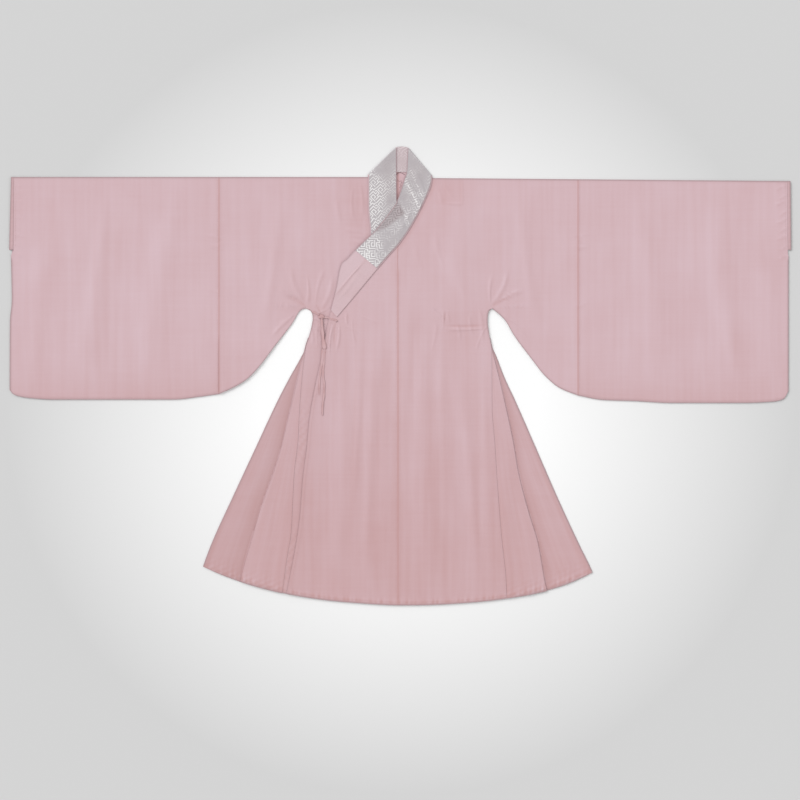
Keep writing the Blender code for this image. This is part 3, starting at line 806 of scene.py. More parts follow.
def wall_mesh(name: str, lattice: Lattice, thickness: float) -> bpy.types.Object:
    """Close a lattice into a thin wall of cloth with its rims.

    Args:
        name: The piece's name.
        lattice: The cloth's middle.
        thickness: The wall's thickness in millimetres.

    Returns:
        The new object, with its UV map and its tone attribute.
    """
    rows, cols = lattice.there.shape
    half = lattice.normals * (thickness / 2.0)
    both = np.concatenate(
        [(lattice.points + half).reshape(-1, 3), (lattice.points - half).reshape(-1, 3)]
    )
    index = np.arange(rows * cols).reshape(rows, cols)
    a, b = index[:-1, :-1], index[:-1, 1:]
    c, d = index[1:, 1:], index[1:, :-1]
    there = lattice.there
    whole = there[:-1, :-1] & there[:-1, 1:] & there[1:, 1:] & there[1:, :-1]
    cells = np.stack([a[whole], b[whole], c[whole], d[whole]], axis=1)
    edges = np.concatenate([cells[:, [k, (k + 1) % 4]] for k in range(4)])
    shift = rows * cols
    rim = edges[~np.isin(edges[:, 0] * shift + edges[:, 1], edges[:, 1] * shift + edges[:, 0])]
    faces = np.concatenate(
        [
            cells,
            cells[:, ::-1] + shift,
            np.stack([rim[:, 1], rim[:, 0], rim[:, 0] + shift, rim[:, 1] + shift], axis=1),
        ]
    )
    used, compact = np.unique(faces, return_inverse=True)
    faces = compact.reshape(-1, 4)
    world = to_world(both)[used]
    tri = world[faces[:, :3]]
    outward = np.cross(tri[:, 1] - tri[:, 0], tri[:, 2] - tri[:, 0])
    if np.einsum("ij,ij->i", outward, tri[:, 0] + np.array([0.0, 0.0, 5.0])).sum() < 0:
        faces = faces[:, ::-1]
    mesh = bpy.data.meshes.new(name)
    mesh.vertices.add(len(world))
    mesh.vertices.foreach_set("co", world.ravel())
    mesh.loops.add(faces.size)
    mesh.loops.foreach_set("vertex_index", faces.ravel().astype(np.int32))
    mesh.polygons.add(len(faces))
    mesh.polygons.foreach_set("loop_start", np.arange(0, faces.size, 4, dtype=np.int32))
    mesh.update(calc_edges=True)
    mesh.validate()
    fabric = np.concatenate([lattice.fabric.reshape(-1, 2)] * 2)[used] * MM
    layer = mesh.uv_layers.new(name="fabric")
    layer.data.foreach_set("uv", fabric[faces.ravel()].astype(np.float32).ravel())
    both_sides = (np.concatenate([values.ravel()] * 2) for values in (lattice.tone, lattice.accent))
    set_values(mesh, *(values[used] for values in both_sides))
    mesh.polygons.foreach_set("use_smooth", np.ones(len(faces), bool))
    mesh.set_sharp_from_angle(angle=math.radians(SHARP_DEGREES))
    return placed(name, mesh)


def volume_sign(piece: bpy.types.Object) -> float:
    """Give the signed volume of a closed piece, which is positive if it faces out."""
    mesh = piece.data
    mesh.calc_loop_triangles()
    corner = np.empty(len(mesh.vertices) * 3)
    mesh.vertices.foreach_get("co", corner)
    corner = corner.reshape(-1, 3)
    tri = np.empty(len(mesh.loop_triangles) * 3, np.int32)
    mesh.loop_triangles.foreach_get("vertices", tri)
    a, b, c = (corner[tri.reshape(-1, 3)[:, k]] for k in range(3))
    return float(np.einsum("ij,ij->i", a, np.cross(b, c)).sum())


def faced_out(piece: bpy.types.Object) -> bpy.types.Object:
    """Turn a closed piece's faces outwards if they point in."""
    if volume_sign(piece) < 0.0:
        piece.data.flip_normals()
    return piece


def feed(tree: bpy.types.NodeTree, socket: bpy.types.NodeSocket, value: object) -> None:
    """Link or set one input socket."""
    if isinstance(value, Num):
        value = value.socket
    if isinstance(value, bpy.types.NodeSocket):
        tree.links.new(value, socket)
    else:
        socket.default_value = value


def add_node(
    tree: bpy.types.NodeTree, kind: str, settings: dict[str, object],
    inputs: dict[str | int, object],
) -> bpy.types.Node:
    """Add a node, with its settings first and then its sockets.

    Args:
        tree: The tree that it goes to.
        kind: The node's type.
        settings: Properties to set on it.
        inputs: Values or links for its input sockets, by name or number.

    Returns:
        The node.
    """
    made = tree.nodes.new(kind)
    for key, value in settings.items():
        setattr(made, key, value)
    for key, value in inputs.items():
        feed(tree, made.inputs[key], value)
    return made


@dataclass(frozen=True)
class Num:
    """A number in a node tree, with the arithmetic that adds its nodes."""

    tree: bpy.types.NodeTree
    socket: bpy.types.NodeSocket

    def _math(self, operation: str, *values: Num | float) -> Num:
        """Add one Math node on these values."""
        inputs = dict(enumerate(values))
        node = add_node(self.tree, "ShaderNodeMath", {"operation": operation}, inputs)
        return Num(self.tree, node.outputs[0])

    def __add__(self, other: Num | float) -> Num:
        """Add."""
        return self._math("ADD", self, other)

    __radd__ = __add__

    def __mul__(self, other: Num | float) -> Num:
        """Multiply."""
        return self._math("MULTIPLY", self, other)

    __rmul__ = __mul__

    def __sub__(self, other: Num | float) -> Num:
        """Subtract."""
        return self._math("SUBTRACT", self, other)

    def __rsub__(self, other: float) -> Num:
        """Subtract this from a number."""
        return self._math("SUBTRACT", other, self)

    def __truediv__(self, other: Num | float) -> Num:
        """Divide."""
        return self._math("DIVIDE", self, other)

    def __abs__(self) -> Num:
        """Drop the sign."""
        return self._math("ABSOLUTE", self)

    def root(self) -> Num:
        """Take the square root."""
        return self._math("SQRT", self)

    def sine(self) -> Num:
        """Take the sine."""
        return self._math("SINE", self)

    def wrapped(self, size: float) -> Num:
        """Wrap into 0 to size."""
        return self._math("WRAP", self, size, 0.0)

    def least(self, other: Num | float) -> Num:
        """Take the smaller."""
        return self._math("MINIMUM", self, other)

    def most(self, other: Num | float) -> Num:
        """Take the larger."""
        return self._math("MAXIMUM", self, other)

    def step(self, start: float, end: float) -> Num:
        """Step smoothly from 0 at start to 1 at end, or down where end is lower."""
        low, high = (start, end) if start < end else (end, start)
        first, last = (0.0, 1.0) if start < end else (1.0, 0.0)
        node = add_node(
            self.tree, "ShaderNodeMapRange", {"interpolation_type": "SMOOTHSTEP"},
            {"Value": self, "From Min": low, "From Max": high, "To Min": first, "To Max": last},
        )
        return Num(self.tree, node.outputs["Result"])


Colour = tuple[float, float, float]


def linear(red: float, green: float, blue: float) -> Colour:
    """Turn screen values from 0 to 255 into linear light."""

    def one(value: float) -> float:
        """Turn one value."""
        share = value / 255.0
        return share / 12.92 if share <= 0.04045 else ((share + 0.055) / 1.055) ** 2.4

    return one(red), one(green), one(blue)


STUDIO_LIGHT = 1.1


def seen(red: float, green: float, blue: float) -> Colour:
    """Give the colour of a flat cloth that shows as these screen values in the studio."""
    return tuple(channel / STUDIO_LIGHT for channel in linear(red, green, blue))


class MaterialTree:
    """A material's node tree and the few calls that fill it."""

    def __init__(self, name: str) -> None:
        """Start a material that holds only its shader and output."""
        self.material = bpy.data.materials.new(name)
        self.material.use_nodes = True
        self.tree = self.material.node_tree
        self.shader = self.tree.nodes["Principled BSDF"]

    def node(
        self, kind: str, settings: dict[str, object], inputs: dict[str | int, object]
    ) -> bpy.types.Node:
        """Add a node to this material."""
        return add_node(self.tree, kind, settings, inputs)

    def finished(self, sockets: dict[str, object]) -> bpy.types.Material:
        """Set the shader's sockets and give the material."""
        for key, value in sockets.items():
            feed(self.tree, self.shader.inputs[key], value)
        return self.material

    def number(self, socket: bpy.types.NodeSocket) -> Num:
        """Wrap a socket for arithmetic."""
        return Num(self.tree, socket)

    def attribute(self, name: str) -> Num:
        """Read a float attribute of the mesh."""
        found = self.node("ShaderNodeAttribute", {"attribute_name": name}, {})
        return self.number(found.outputs["Fac"])

    def fabric(self) -> tuple[bpy.types.NodeSocket, Num, Num]:
        """Read the place on the cloth, in metres, as a vector and as two numbers."""
        uv = self.node("ShaderNodeUVMap", {"uv_map": "fabric"}, {}).outputs["UV"]
        return uv, *self.parts(uv)

    def parts(self, vector: bpy.types.NodeSocket) -> tuple[Num, Num]:
        """Take a vector's first two parts."""
        found = self.node("ShaderNodeSeparateXYZ", {}, {"Vector": vector}).outputs
        return self.number(found["X"]), self.number(found["Y"])

    def noise(self, vector: object, stretch: tuple[float, float, float], detail: float) -> Num:
        """Add noise stretched along the cloth, centred on 0."""
        scaled = self.node("ShaderNodeMapping", {}, {"Vector": vector, "Scale": stretch})
        made = self.node(
            "ShaderNodeTexNoise", {},
            {"Vector": scaled.outputs["Vector"], "Scale": 1.0, "Detail": detail},
        )
        return self.number(made.outputs["Fac"]) - 0.5

    def mix(self, share: Num, low: object, high: object) -> bpy.types.NodeSocket:
        """Mix two colours by a share."""
        low, high = ((*end, 1.0) if isinstance(end, tuple) else end for end in (low, high))
        inputs = {0: share, 6: low, 7: high}
        return self.node("ShaderNodeMix", {"data_type": "RGBA"}, inputs).outputs[2]

    def bump(self, height: Num, distance: float, strength: float) -> bpy.types.NodeSocket:
        """Turn a height into a normal."""
        inputs = {"Height": height, "Distance": distance, "Strength": strength}
        return self.node("ShaderNodeBump", {}, inputs).outputs["Normal"]


@dataclass(frozen=True)
class SheerCloth:
    """Fine semi-sheer cloth: a plain weave with long faint streaks and a soft sheen.

    Attributes:
        name: The material's name.
        pale: Its colour where it is palest.
        deep: Its colour where layers and seams deepen it, and where shade is painted.
        rim: Its colour on turned edges and outlines, and in the shade painted along the gores'
            folds.
        thread: Pitch of its threads in metres.
        streak: Strength of the streaks.
    """

    name: str
    pale: Colour
    deep: Colour
    rim: Colour
    thread: float = 0.0007
    streak: float = 0.16

    def build(self) -> bpy.types.Material:
        """Make the material."""
        made = MaterialTree(self.name)
        uv, across, along = made.fabric()
        tone = made.attribute("tone")
        streaks = made.noise(uv, (70.0, 3.0, 1.0), 3.0)
        weft = made.noise(uv, (6.0, 160.0, 1.0), 2.0)
        mottle = made.noise(uv, (9.0, 7.0, 1.0), 3.0)
        grain = made.noise(uv, (900.0, 500.0, 1.0), 1.0)
        share = tone + streaks * self.streak * 5.0 + weft * 0.3 + mottle * 0.7 + grain * 0.3
        cloth = made.mix((share * 0.5 + 0.25).most(0.0).least(1.0), self.pale, self.deep)
        rim = (made.attribute("accent") * (grain * 0.8 + 0.85)).most(0.0).least(1.0)
        turn = 2.0 * math.pi / self.thread
        weave = (across * turn).sine() * (along * turn).sine()
        height = weave * 0.35 + grain * 0.8 + streaks * 0.6
        return made.finished(
            {
                "Base Color": made.mix(rim, cloth, self.rim),
                "Normal": made.bump(height, 0.00012, 0.35),
                "Roughness": mottle * 0.15 + 0.66,
                "Sheen Weight": 0.12,
                "Sheen Roughness": 0.5,
                "Specular IOR Level": 0.3,
            }
        )


# Bars of one repeat of the fret, on a square of 12 units: x0, y0, x1, y1
FRET_BARS = (
    (0.0, 0.0, 7.0, 0.0),
    (7.0, 0.0, 7.0, 4.0),
    (3.0, 4.0, 7.0, 4.0),
    (3.0, 2.0, 3.0, 4.0),
    (9.5, 0.0, 9.5, 6.5),
    (5.5, 6.5, 9.5, 6.5),
    (5.5, 6.5, 5.5, 8.5),
    (0.5, 2.0, 0.5, 8.5),
    (0.5, 6.5, 3.0, 6.5),
    (3.0, 6.5, 3.0, 10.0),
    (3.0, 10.0, 8.0, 10.0),
    (8.0, 8.5, 8.0, 10.0),
    (10.2, 8.5, 12.0, 8.5),
    (10.2, 8.5, 10.2, 11.0),
)


@dataclass(frozen=True)
class FretBrocade:
    """Silver-white brocade with an angular fret woven at 45 degrees to the strip.

    Attributes:
        name: The material's name.
        ground: Colour of the ground.
        thread: Colour of the fret.
        dim_ground: Colour of the ground where the sheen turns dark.
        shadow: Colour of the fret where the sheen turns it dark.
        unit: Size of one unit of the chart in metres.
        bar: Half the width of a bar in units.
    """

    name: str
    ground: Colour
    thread: Colour
    dim_ground: Colour
    shadow: Colour
    unit: float = 0.0023
    bar: float = 0.46

    def fret(self, x: Num, y: Num) -> Num:
        """Give 1 on the fret's bars and 0 between them.

        Args:
            x: Place along the first axis in chart units.
            y: Place along the second axis in chart units.

        Returns:
            The mask.
        """
        wide = 12.0
        x, y = x.wrapped(wide), y.wrapped(wide)
        nearest: Num | None = None
        for x0, y0, x1, y1 in FRET_BARS:
            middle_x, middle_y = (x0 + x1) / 2.0, (y0 + y1) / 2.0
            half_x, half_y = (x1 - x0) / 2.0, (y1 - y0) / 2.0
            gap_x = abs((x - middle_x + wide * 1.5).wrapped(wide) - wide / 2.0) - half_x
            gap_y = abs((y - middle_y + wide * 1.5).wrapped(wide) - wide / 2.0) - half_y
            gap = gap_x.most(gap_y)
            nearest = gap if nearest is None else nearest.least(gap)
        return nearest.step(self.bar + 0.16, self.bar - 0.16)

    def build(self) -> bpy.types.Material:
        """Make the material."""
        made = MaterialTree(self.name)
        uv, along, across = made.fabric()
        tone = made.attribute("tone")
        turn = math.sqrt(0.5) / self.unit
        x = (along + across) * turn
        y = (along - across) * turn
        fret = self.fret(x, y)
        mottle = made.noise(uv, (22.0, 22.0, 1.0), 3.0)
        grain = made.noise(uv, (420.0, 420.0, 1.0), 2.0)
        glint = made.attribute("accent")
        # The fret shows by uneven wear and by its painted glint; a glint above 0.9 also paints a
        # satin highlight over the ground
        wear_and_glint = mottle * 2.8 + glint + 0.42
        pattern = (fret * wear_and_glint.most(0.08).least(1.0) + (glint - 0.9).most(0.0)).least(1.0)
        # Lit and shaded copies of the brocade, mixed by the painted dark sheen that the tone
        # attribute holds here
        lit = made.mix(pattern, self.ground, self.thread)
        dark = made.mix(fret, self.dim_ground, self.shadow)
        colour = made.mix(tone.most(0.0).least(1.0), lit, dark)
        height = fret * 0.9 + grain * 0.9 + mottle * 0.4
        return made.finished(
            {
                "Base Color": colour,
                "Normal": made.bump(height, 0.0002, 0.5),
                "Roughness": 0.56 - fret * 0.14 + grain * 0.1,
                "Sheen Weight": 0.1,
                "Specular IOR Level": 0.45,
            }
        )


@dataclass(frozen=True)
class ThreadFinish:
    """Sewing thread: a plain colour with a twist along each stitch."""

    name: str
    colour: Colour
    deep: Colour

    def build(self) -> bpy.types.Material:
        """Make the material."""
        made = MaterialTree(self.name)
        place = made.node("ShaderNodeTexCoord", {}, {}).outputs["Object"]
        twist = made.noise(place, (900.0, 900.0, 900.0), 1.0)
        colour = made.mix((twist + 0.5).most(0.0).least(1.0), self.colour, self.deep)
        return made.finished({"Base Color": colour, "Roughness": twist * 0.2 + 0.6})


@dataclass(frozen=True)
class StudioFloor:
    """A plain pale floor with a painted pool of light: palest in the middle, dimmer outwards."""

    name: str
    pale: Colour
    dim: Colour
    centre: tuple[float, float]
    reach: tuple[float, float]

    def build(self) -> bpy.types.Material:
        """Make the material."""
        made = MaterialTree(self.name)
        place = made.node("ShaderNodeTexCoord", {}, {}).outputs["Object"]
        x, y = made.parts(place)
        x, y = x - self.centre[0], y - self.centre[1]
        # Painted light falloff: the floor's colour dims from the middle outwards
        share = ((x * x + y * y).root() - self.reach[0]) / (self.reach[1] - self.reach[0])
        colour = made.mix(share.most(0.0).least(1.0), self.pale, self.dim)
        return made.finished({"Base Color": colour, "Roughness": 0.9, "Specular IOR Level": 0.1})


class Finishes:
    """Every finish of the robe, made once."""

    def __init__(self) -> None:
        """Make the materials."""
        rim = seen(168, 140, 143)
        self.sheer = SheerCloth(
            "sheer_cloth", seen(215, 187, 194), seen(197, 155, 155), rim
        ).build()
        self.band = SheerCloth(
            "band_cloth", seen(216, 191, 197), seen(194, 155, 156), rim, streak=0.08
        ).build()
        self.tie = SheerCloth(
            "tie_cloth", seen(216, 186, 190), seen(194, 150, 150), seen(170, 130, 131),
            streak=0.06,
        ).build()
        # The last two colours of each brocade are its ground and its fret where the sheen is
        # painted dark
        self.brocade = FretBrocade(
            "fret_brocade", seen(185, 178.5, 181.5), seen(240, 238, 237), seen(180, 169, 171),
            seen(138, 123, 126),
        ).build()
        self.reverse = FretBrocade(
            "fret_brocade_reverse", seen(198, 181, 184), seen(221, 207, 210),
            seen(190, 172, 175), seen(178, 158, 160),
        ).build()
        self.thread = ThreadFinish(
            "sewing_thread", seen(206, 170, 173), seen(190, 150, 152)
        ).build()
        self.dark_thread = ThreadFinish("neck_thread", seen(104, 70, 76), seen(84, 58, 64)).build()


def dress(piece: bpy.types.Object, material: bpy.types.Material) -> bpy.types.Object:
    """Give a piece its one material."""
    piece.data.materials.clear()
    piece.data.materials.append(material)
    return piece


def cloth_piece(
    name: str, lattice: Lattice, material: bpy.types.Material, thickness: float = SHELL
) -> bpy.types.Object:
    """Make a closed piece of cloth that faces outwards and wears its material."""
    return dress(faced_out(wall_mesh(name, lattice, thickness)), material)


def column(
    u: Array, v: Array, z: Array, normal: tuple[float, float, float], tone: Array,
    accent: Array, along: Array, there: Array | None = None,
) -> Lattice:
    """Make one column of flat cloth.

    Args:
        u: u of each row.
        v: v of each row.
        z: Height of each row.
        normal: The face's direction.
        tone: Colour depth of each row.
        accent: Second value of each row.
        along: Place down the cloth of each row.
        there: Whether there is cloth at each row.

    Returns:
        A lattice of one column.
    """
    count = len(u)
    points = np.stack([u, v, z], axis=1)[:, None, :]
    normals = np.tile(np.array(normal, float), (count, 1))[:, None, :]
    fabric = np.stack([u, along], axis=1)[:, None, :]
    mask = np.ones(count, bool) if there is None else there
    return Lattice(points, normals, fabric, tone[:, None], accent[:, None], mask[:, None])


def no_cloth(count: int) -> Lattice:
    """Make rows of one column that have no cloth."""
    zero = np.zeros(count)
    return column(zero, zero, zero, UP, zero, zero, zero, np.zeros(count, bool))


TURN_STEPS = 6
UP = (0.0, 0.0, 1.0)
DOWN = (0.0, 0.0, -1.0)


def folded_column(
    u: Array, v: Array, back_v: Array, back_u: Array, top: float, height: HeightAt,
    extra: Array, tone: Array, accent: Array,
) -> Lattice:
    """Lay one column over a fold: front from the bottom up, the turn, then the back.

    Args:
        u: u of the front's rows, from the fold down.
        v: v of the front's rows, from the fold down.
        back_v: v of the back's rows, from the fold down.
        back_u: u of the back's rows, from the fold down.
        top: v of the fold's outermost line.
        height: The front's height at each place.
        extra: Height that creases add to each front row.
        tone: Colour depth of the front's rows.
        accent: Darkness of the front's rims, row by row.

    Returns:
        A lattice of one column.
    """
    edge_z = float(height(np.array([u[0]]), np.array([top]))[0])
    radius = (edge_z - BACK_Z) / 2.0
    inset = radius + CLOTH / 2.0
    v = np.maximum(v, top + inset)
    back_v = np.maximum(back_v, top + inset)
    z = height(u, v) + extra * rise(v, top + inset, top + 14.0)
    z[0] = edge_z
    front = column(u, v, z, UP, tone, accent, v).upside_down()
    angles = np.pi * np.arange(1, TURN_STEPS) / TURN_STEPS
    turn_v = top + inset - radius * np.sin(angles)
    turn_z = (edge_z + BACK_Z) / 2.0 + radius * np.cos(angles)
    level = np.ones(len(angles))
    turn = column(level * u[0], turn_v, turn_z, UP, level * tone[0], level, turn_v)
    turn.normals[:, 0, 1] = -np.sin(angles)
    turn.normals[:, 0, 2] = np.cos(angles)
    flat = np.full(len(back_v), BACK_Z)
    back = column(back_u, back_v, flat, DOWN, back_tone(back_u, back_v), 0.0 * back_v, -back_v)
    return Lattice.from_rows([front, turn, back])


FINE_EDGES = (1.2, 2.4, 3.6, 4.8, 6.5, 9.0)
CUFF_COLUMNS = (12.0, 15.0, 18.0, 21.0, 24.0, 27.0, 30.5, 34.0, 38.0)


@dataclass
class BodyHalf:
    """One half of the robe: front and back in one length, folded at the shoulder.

    Attributes:
        side: Which half.
        finishes: The robe's finishes.
        column_step: Widest spacing of columns.
        row_step: Spacing of the front's rows.
        back_step: Spacing of the back's rows.
    """

    side: Side
    finishes: Finishes
    column_step: float = 4.4
    row_step: float = 4.4
    back_step: float = 28.0

    def front_height(self, u: Array, v: Array) -> Array:
        """Give the front's height without creases."""
        if self.side is Side.RIGHT:
            return PLAN.right_front(u, v)
        return PLAN.outer_front(u, v)

    def neck_column(self, d: float) -> tuple[float, int]:
        """Give the neckline's v at d, and the first row there."""
        if self.side is Side.RIGHT:
            return RIGHT_NECK_V + (RIGHT_NECK - d) * 1.1, round(RIGHT_NECK_V / self.row_step)
        return LEFT_NECK_V + 2.0 * (LEFT_NECK - d), 0

    def build(self) -> bpy.types.Object:
        """Make the half robe's shell."""
        side, sign = self.side, self.side.sign
        middle = sign * CENTRE_U
        neck = RIGHT_NECK if side is Side.RIGHT else LEFT_NECK
        armpit = float(PLAN.side_seams[side](ARMPIT_V))
        seam = PLAN.sleeve_seam(side)
        upper = round(ARMPIT_V / self.row_step)
        skirt = round((PLAN.hem_v - ARMPIT_V) / self.row_step)
        back_upper = round(ARMPIT_V / self.back_step)
        back_skirt = round((PLAN.hem_v - ARMPIT_V) / self.back_step)
        back_share = graded(ARMPIT_V, PLAN.hem_v, back_skirt, ((355.0, 400.0, 5.0),))[1:]
        relief = INNER_RELIEF if side is Side.RIGHT else OUTER_RELIEF
        inner = spread(middle, neck, self.column_step + 1.0, FINE_EDGES)[:-1]
        body = spread(neck, armpit, self.column_step - 1.2, FINE_EDGES)
        root = spread(armpit, seam, self.column_step, FINE_EDGES)[1:]
        columns = []
        upper_share = graded(0.0, ARMPIT_V, upper, ((0.0, 90.0, 1.6), (320.0, 355.0, 1.5)))
        skirt_share = graded(
            ARMPIT_V, PLAN.hem_v, skirt, ((355.0, 480.0, 2.2), (1115.0, 1158.0, 1.8))
        )[1:]

        def skirt_rows(d: float, count: int) -> tuple[Array, Array]:
            """Places down the skirt part of one column, below the armpit row."""
            share = (d - middle) / (armpit - middle)
            end_u = sign * (middle + share * (PLAN.side_seams[side](FOOT_V) - middle))
            share_v = skirt_share if count == skirt else back_share
            v = ARMPIT_V + (PLAN.hem(end_u) - ARMPIT_V) * share_v
            u = sign * (middle + share * (PLAN.side_seams[side](v) - middle))
            return u, v

        for d in [*inner, *body]:
            front_u, front_v = skirt_rows(d, skirt)
            back_u, back_v = skirt_rows(d, back_skirt)
            if d in inner:
                top, first = self.neck_column(d)
                upper_v = even(top, ARMPIT_V, upper - first)
                back_top = even(float(PLAN.back_neck(sign * d)), ARMPIT_V, back_upper)
            else:
                top = float(PLAN.shoulder_top(side, d))
                upper_v = top + (ARMPIT_V - top) * upper_share
                back_top = even(top, ARMPIT_V, back_upper)
            u = np.concatenate([np.full(len(upper_v), sign * d), front_u])
            v = np.concatenate([upper_v, front_v])
            bu = np.concatenate([np.full(len(back_top), sign * d), back_u])
            bv = np.concatenate([back_top, back_v])
            extra, tone, rim = self.edge_detail(u, v, middle, relief)
            if d not in inner:
                columns.append(
                    folded_column(u, v, bv, bu, top, self.front_height, extra, tone, rim)
                )
                continue
            z = self.front_height(u, v) + extra
            front = column(u, v, z, UP, tone, rim, v).upside_down()
            gap = no_cloth(first + TURN_STEPS - 1)
            flat = np.full(len(bv), BACK_Z)
            back = column(bu, bv, flat, DOWN, back_tone(bu, bv) + 0.1, 0.0 * bv, -bv)
            columns.append(Lattice.from_rows([front, gap, back]))
        for d in root:
            top = float(PLAN.shoulder_top(side, d))
            bottom = float(PLAN.underarms[side](d))
            upper_v = top + (bottom - top) * upper_share
            back_top = even(top, bottom, back_upper)
            u = np.full(len(upper_v), sign * d)
            extra, tone, rim = self.edge_detail(u, upper_v, middle, relief)
            core = folded_column(
                u, upper_v, back_top, np.full(len(back_top), sign * d), top,
                self.front_height, extra, tone, rim,
            )
            columns.append(Lattice.from_rows([no_cloth(skirt), core, no_cloth(back_skirt)]))
        cloth = Lattice.from_columns(columns)
        return cloth_piece(f"{side.value}_body_cloth", cloth, self.finishes.sheer)

    def edge_detail(
        self, u: Array, v: Array, middle: float, relief: Relief
    ) -> tuple[Array, Array, Array]:
        """Work out creases, seam puckers, hem and colour for one column.

        Args:
            u: u of each row.
            v: v of each row.
            middle: Distance out of the centre seam.
            relief: The layer's creases.

        Returns:
            The height to add, the colour depth and the rims' darkness, row by row.
        """
        seam = PLAN.sleeve_seam(self.side)
        out = self.side.sign * u
        extra, crease_shade = relief(u, v)
        below = PLAN.hem(u) - v
        extra = extra + hem_pucker(u, below) * (below < 60.0)
        off_centre = out - middle
        front_seam = rise(v, 235.0, 262.0) if self.side is Side.LEFT else 0.0 * v
        extra = extra + front_seam * seam_pucker(v, off_centre, 0.25) * (off_centre < 40.0)
        off_sleeve = seam - out
        extra = extra + seam_pucker(v, np.abs(off_sleeve), 0.25) * (off_sleeve < 40.0)
        under = PLAN.underarms[self.side](out) - v
        in_sleeve = (out > PLAN.side_seams[self.side](ARMPIT_V)) & (under > -1.0)
        near_under = np.where(in_sleeve, under, 99.0)
        extra = extra + seam_pucker(u, np.abs(near_under), 0.3) * (near_under < 40.0)
        # Colour depth, with the shade painted along the creases
        tone = tone_at(u, v) + hem_tone_and_shade(u, below) + crease_shade
        tone = tone + seam_depth(off_centre) * front_seam + seam_depth(off_sleeve)
        below_fold = v - PLAN.shoulder_top(self.side, out)
        beside = PLAN.side_seams[self.side](v) - out
        skirt_side = np.where((v > ARMPIT_V) & ~in_sleeve, beside, 99.0)
        if self.side is Side.RIGHT:
            free = PLAN.lapel_edge(v)
            strip = rise(out, free - 3.0, free + 3.0) * rise(v, 430.0, 560.0)
            crumple = np.sin(v * 0.29 + 3.1 * np.sin(v * 0.037)) * np.sin(out * 0.31 + v * 0.09)
            crumple = crumple * (0.5 + 0.5 * np.sin(v * 0.019 + 0.7))
            # Beyond the lapel's free edge the inner front is raised, crumpled and deeper in colour,
            # with painted light where the crumples rise and painted shade where they sink
            extra = extra + strip * 0.45 * (1.0 + crumple)
            tone = tone + strip * (0.24 - 0.3 * crumple)
        else:
            tone = tone + 0.45 * bell(line_gap(u, v, COLLAR_ALLOWANCE) - 5.0, 6.0)
        free_side = 1.0 - 0.85 * rise(v, 400.0, 460.0)
        rim = outline_dark(below, near_under, below_fold)
        return extra, tone, np.maximum(rim, free_side * outline_dark(skirt_side))


@dataclass
class Lapel:
    """A lapel panel from the centre seam to its free edge, from the collar to the hem."""

    outer: bool
    finishes: Finishes
    column_step: float = 3.4
    row_step: float = 4.2

    def build(self) -> bpy.types.Object:
        """Make the lapel's shell."""
        sign = -1.0 if self.outer else 1.0
        middle = CENTRE_U
        rows = round(LAPEL_LENGTH / (self.row_step if self.outer else HIDDEN_ROW_STEP))
        places = spread(0.0, LAPEL_WIDTH, HIDDEN_COLUMN_STEP)
        if self.outer:
            places = spread(0.0, LAPEL_WIDTH, self.column_step, FINE_EDGES)
        columns = []
        for place in places:
            share = place / LAPEL_WIDTH
            if self.outer:
                top = 179.5 + 186.5 * share
            else:
                top = 224.0 + 168.0 * share
            end_v = float(PLAN.hem(middle + share * (sign * self.edge(FOOT_V) - middle)))
            v = top + (end_v - top) * graded(
                top, end_v, rows, ((360.0, 480.0, 2.0), (1110.0, 1158.0, 1.6))
            )
            u = middle + share * (sign * self.edge(v) - middle)
            if self.outer:
                extra, tone, rim = self.detail(u, v)
                z = PLAN.outer_front(u, v) + extra
            else:
                tone, rim, z = tone_at(u, v), 0.0 * v, np.full(len(v), FRONT_Z)
            columns.append(column(u, v, z, UP, tone, rim, v))
        name = "outer_lapel_cloth" if self.outer else "inner_lapel_cloth"
        return cloth_piece(name, Lattice.from_columns(columns), self.finishes.sheer)

    def edge(self, v: Array | float) -> Array:
        """Give the free edge's distance from the middle."""
        if self.outer:
            return PLAN.lapel_edge(v)
        return np.minimum(PLAN.lapel_edge(v), PLAN.side_seams[Side.LEFT](v) - 30.0)

    def detail(self, u: Array, v: Array) -> tuple[Array, Array, Array]:
        """Work out creases, the turned free edge, the hem and the centre seam."""
        extra, crease_shade = OUTER_RELIEF(u, v)
        below = PLAN.hem(u) - v
        extra = extra + hem_pucker(u, below) * (below < 60.0)
        off_centre = CENTRE_U - u
        extra = extra + seam_pucker(v, np.abs(off_centre), 0.25) * (off_centre < 40.0)
        inside = PLAN.lapel_edge(v) + u
        extra = extra + hem_pucker(v, inside, 0.4) * (inside < 50.0)
        # Colour depth, with the shade painted along the creases
        tone = tone_at(u, v) + hem_tone_and_shade(u, below) + crease_shade
        tone = tone + seam_depth(off_centre) + 0.15 * (1.0 - rise(inside, 8.0, 11.0))
        rim = np.maximum(outline_dark(below), 0.2 * bell(inside, 2.6))
        return extra, tone, rim


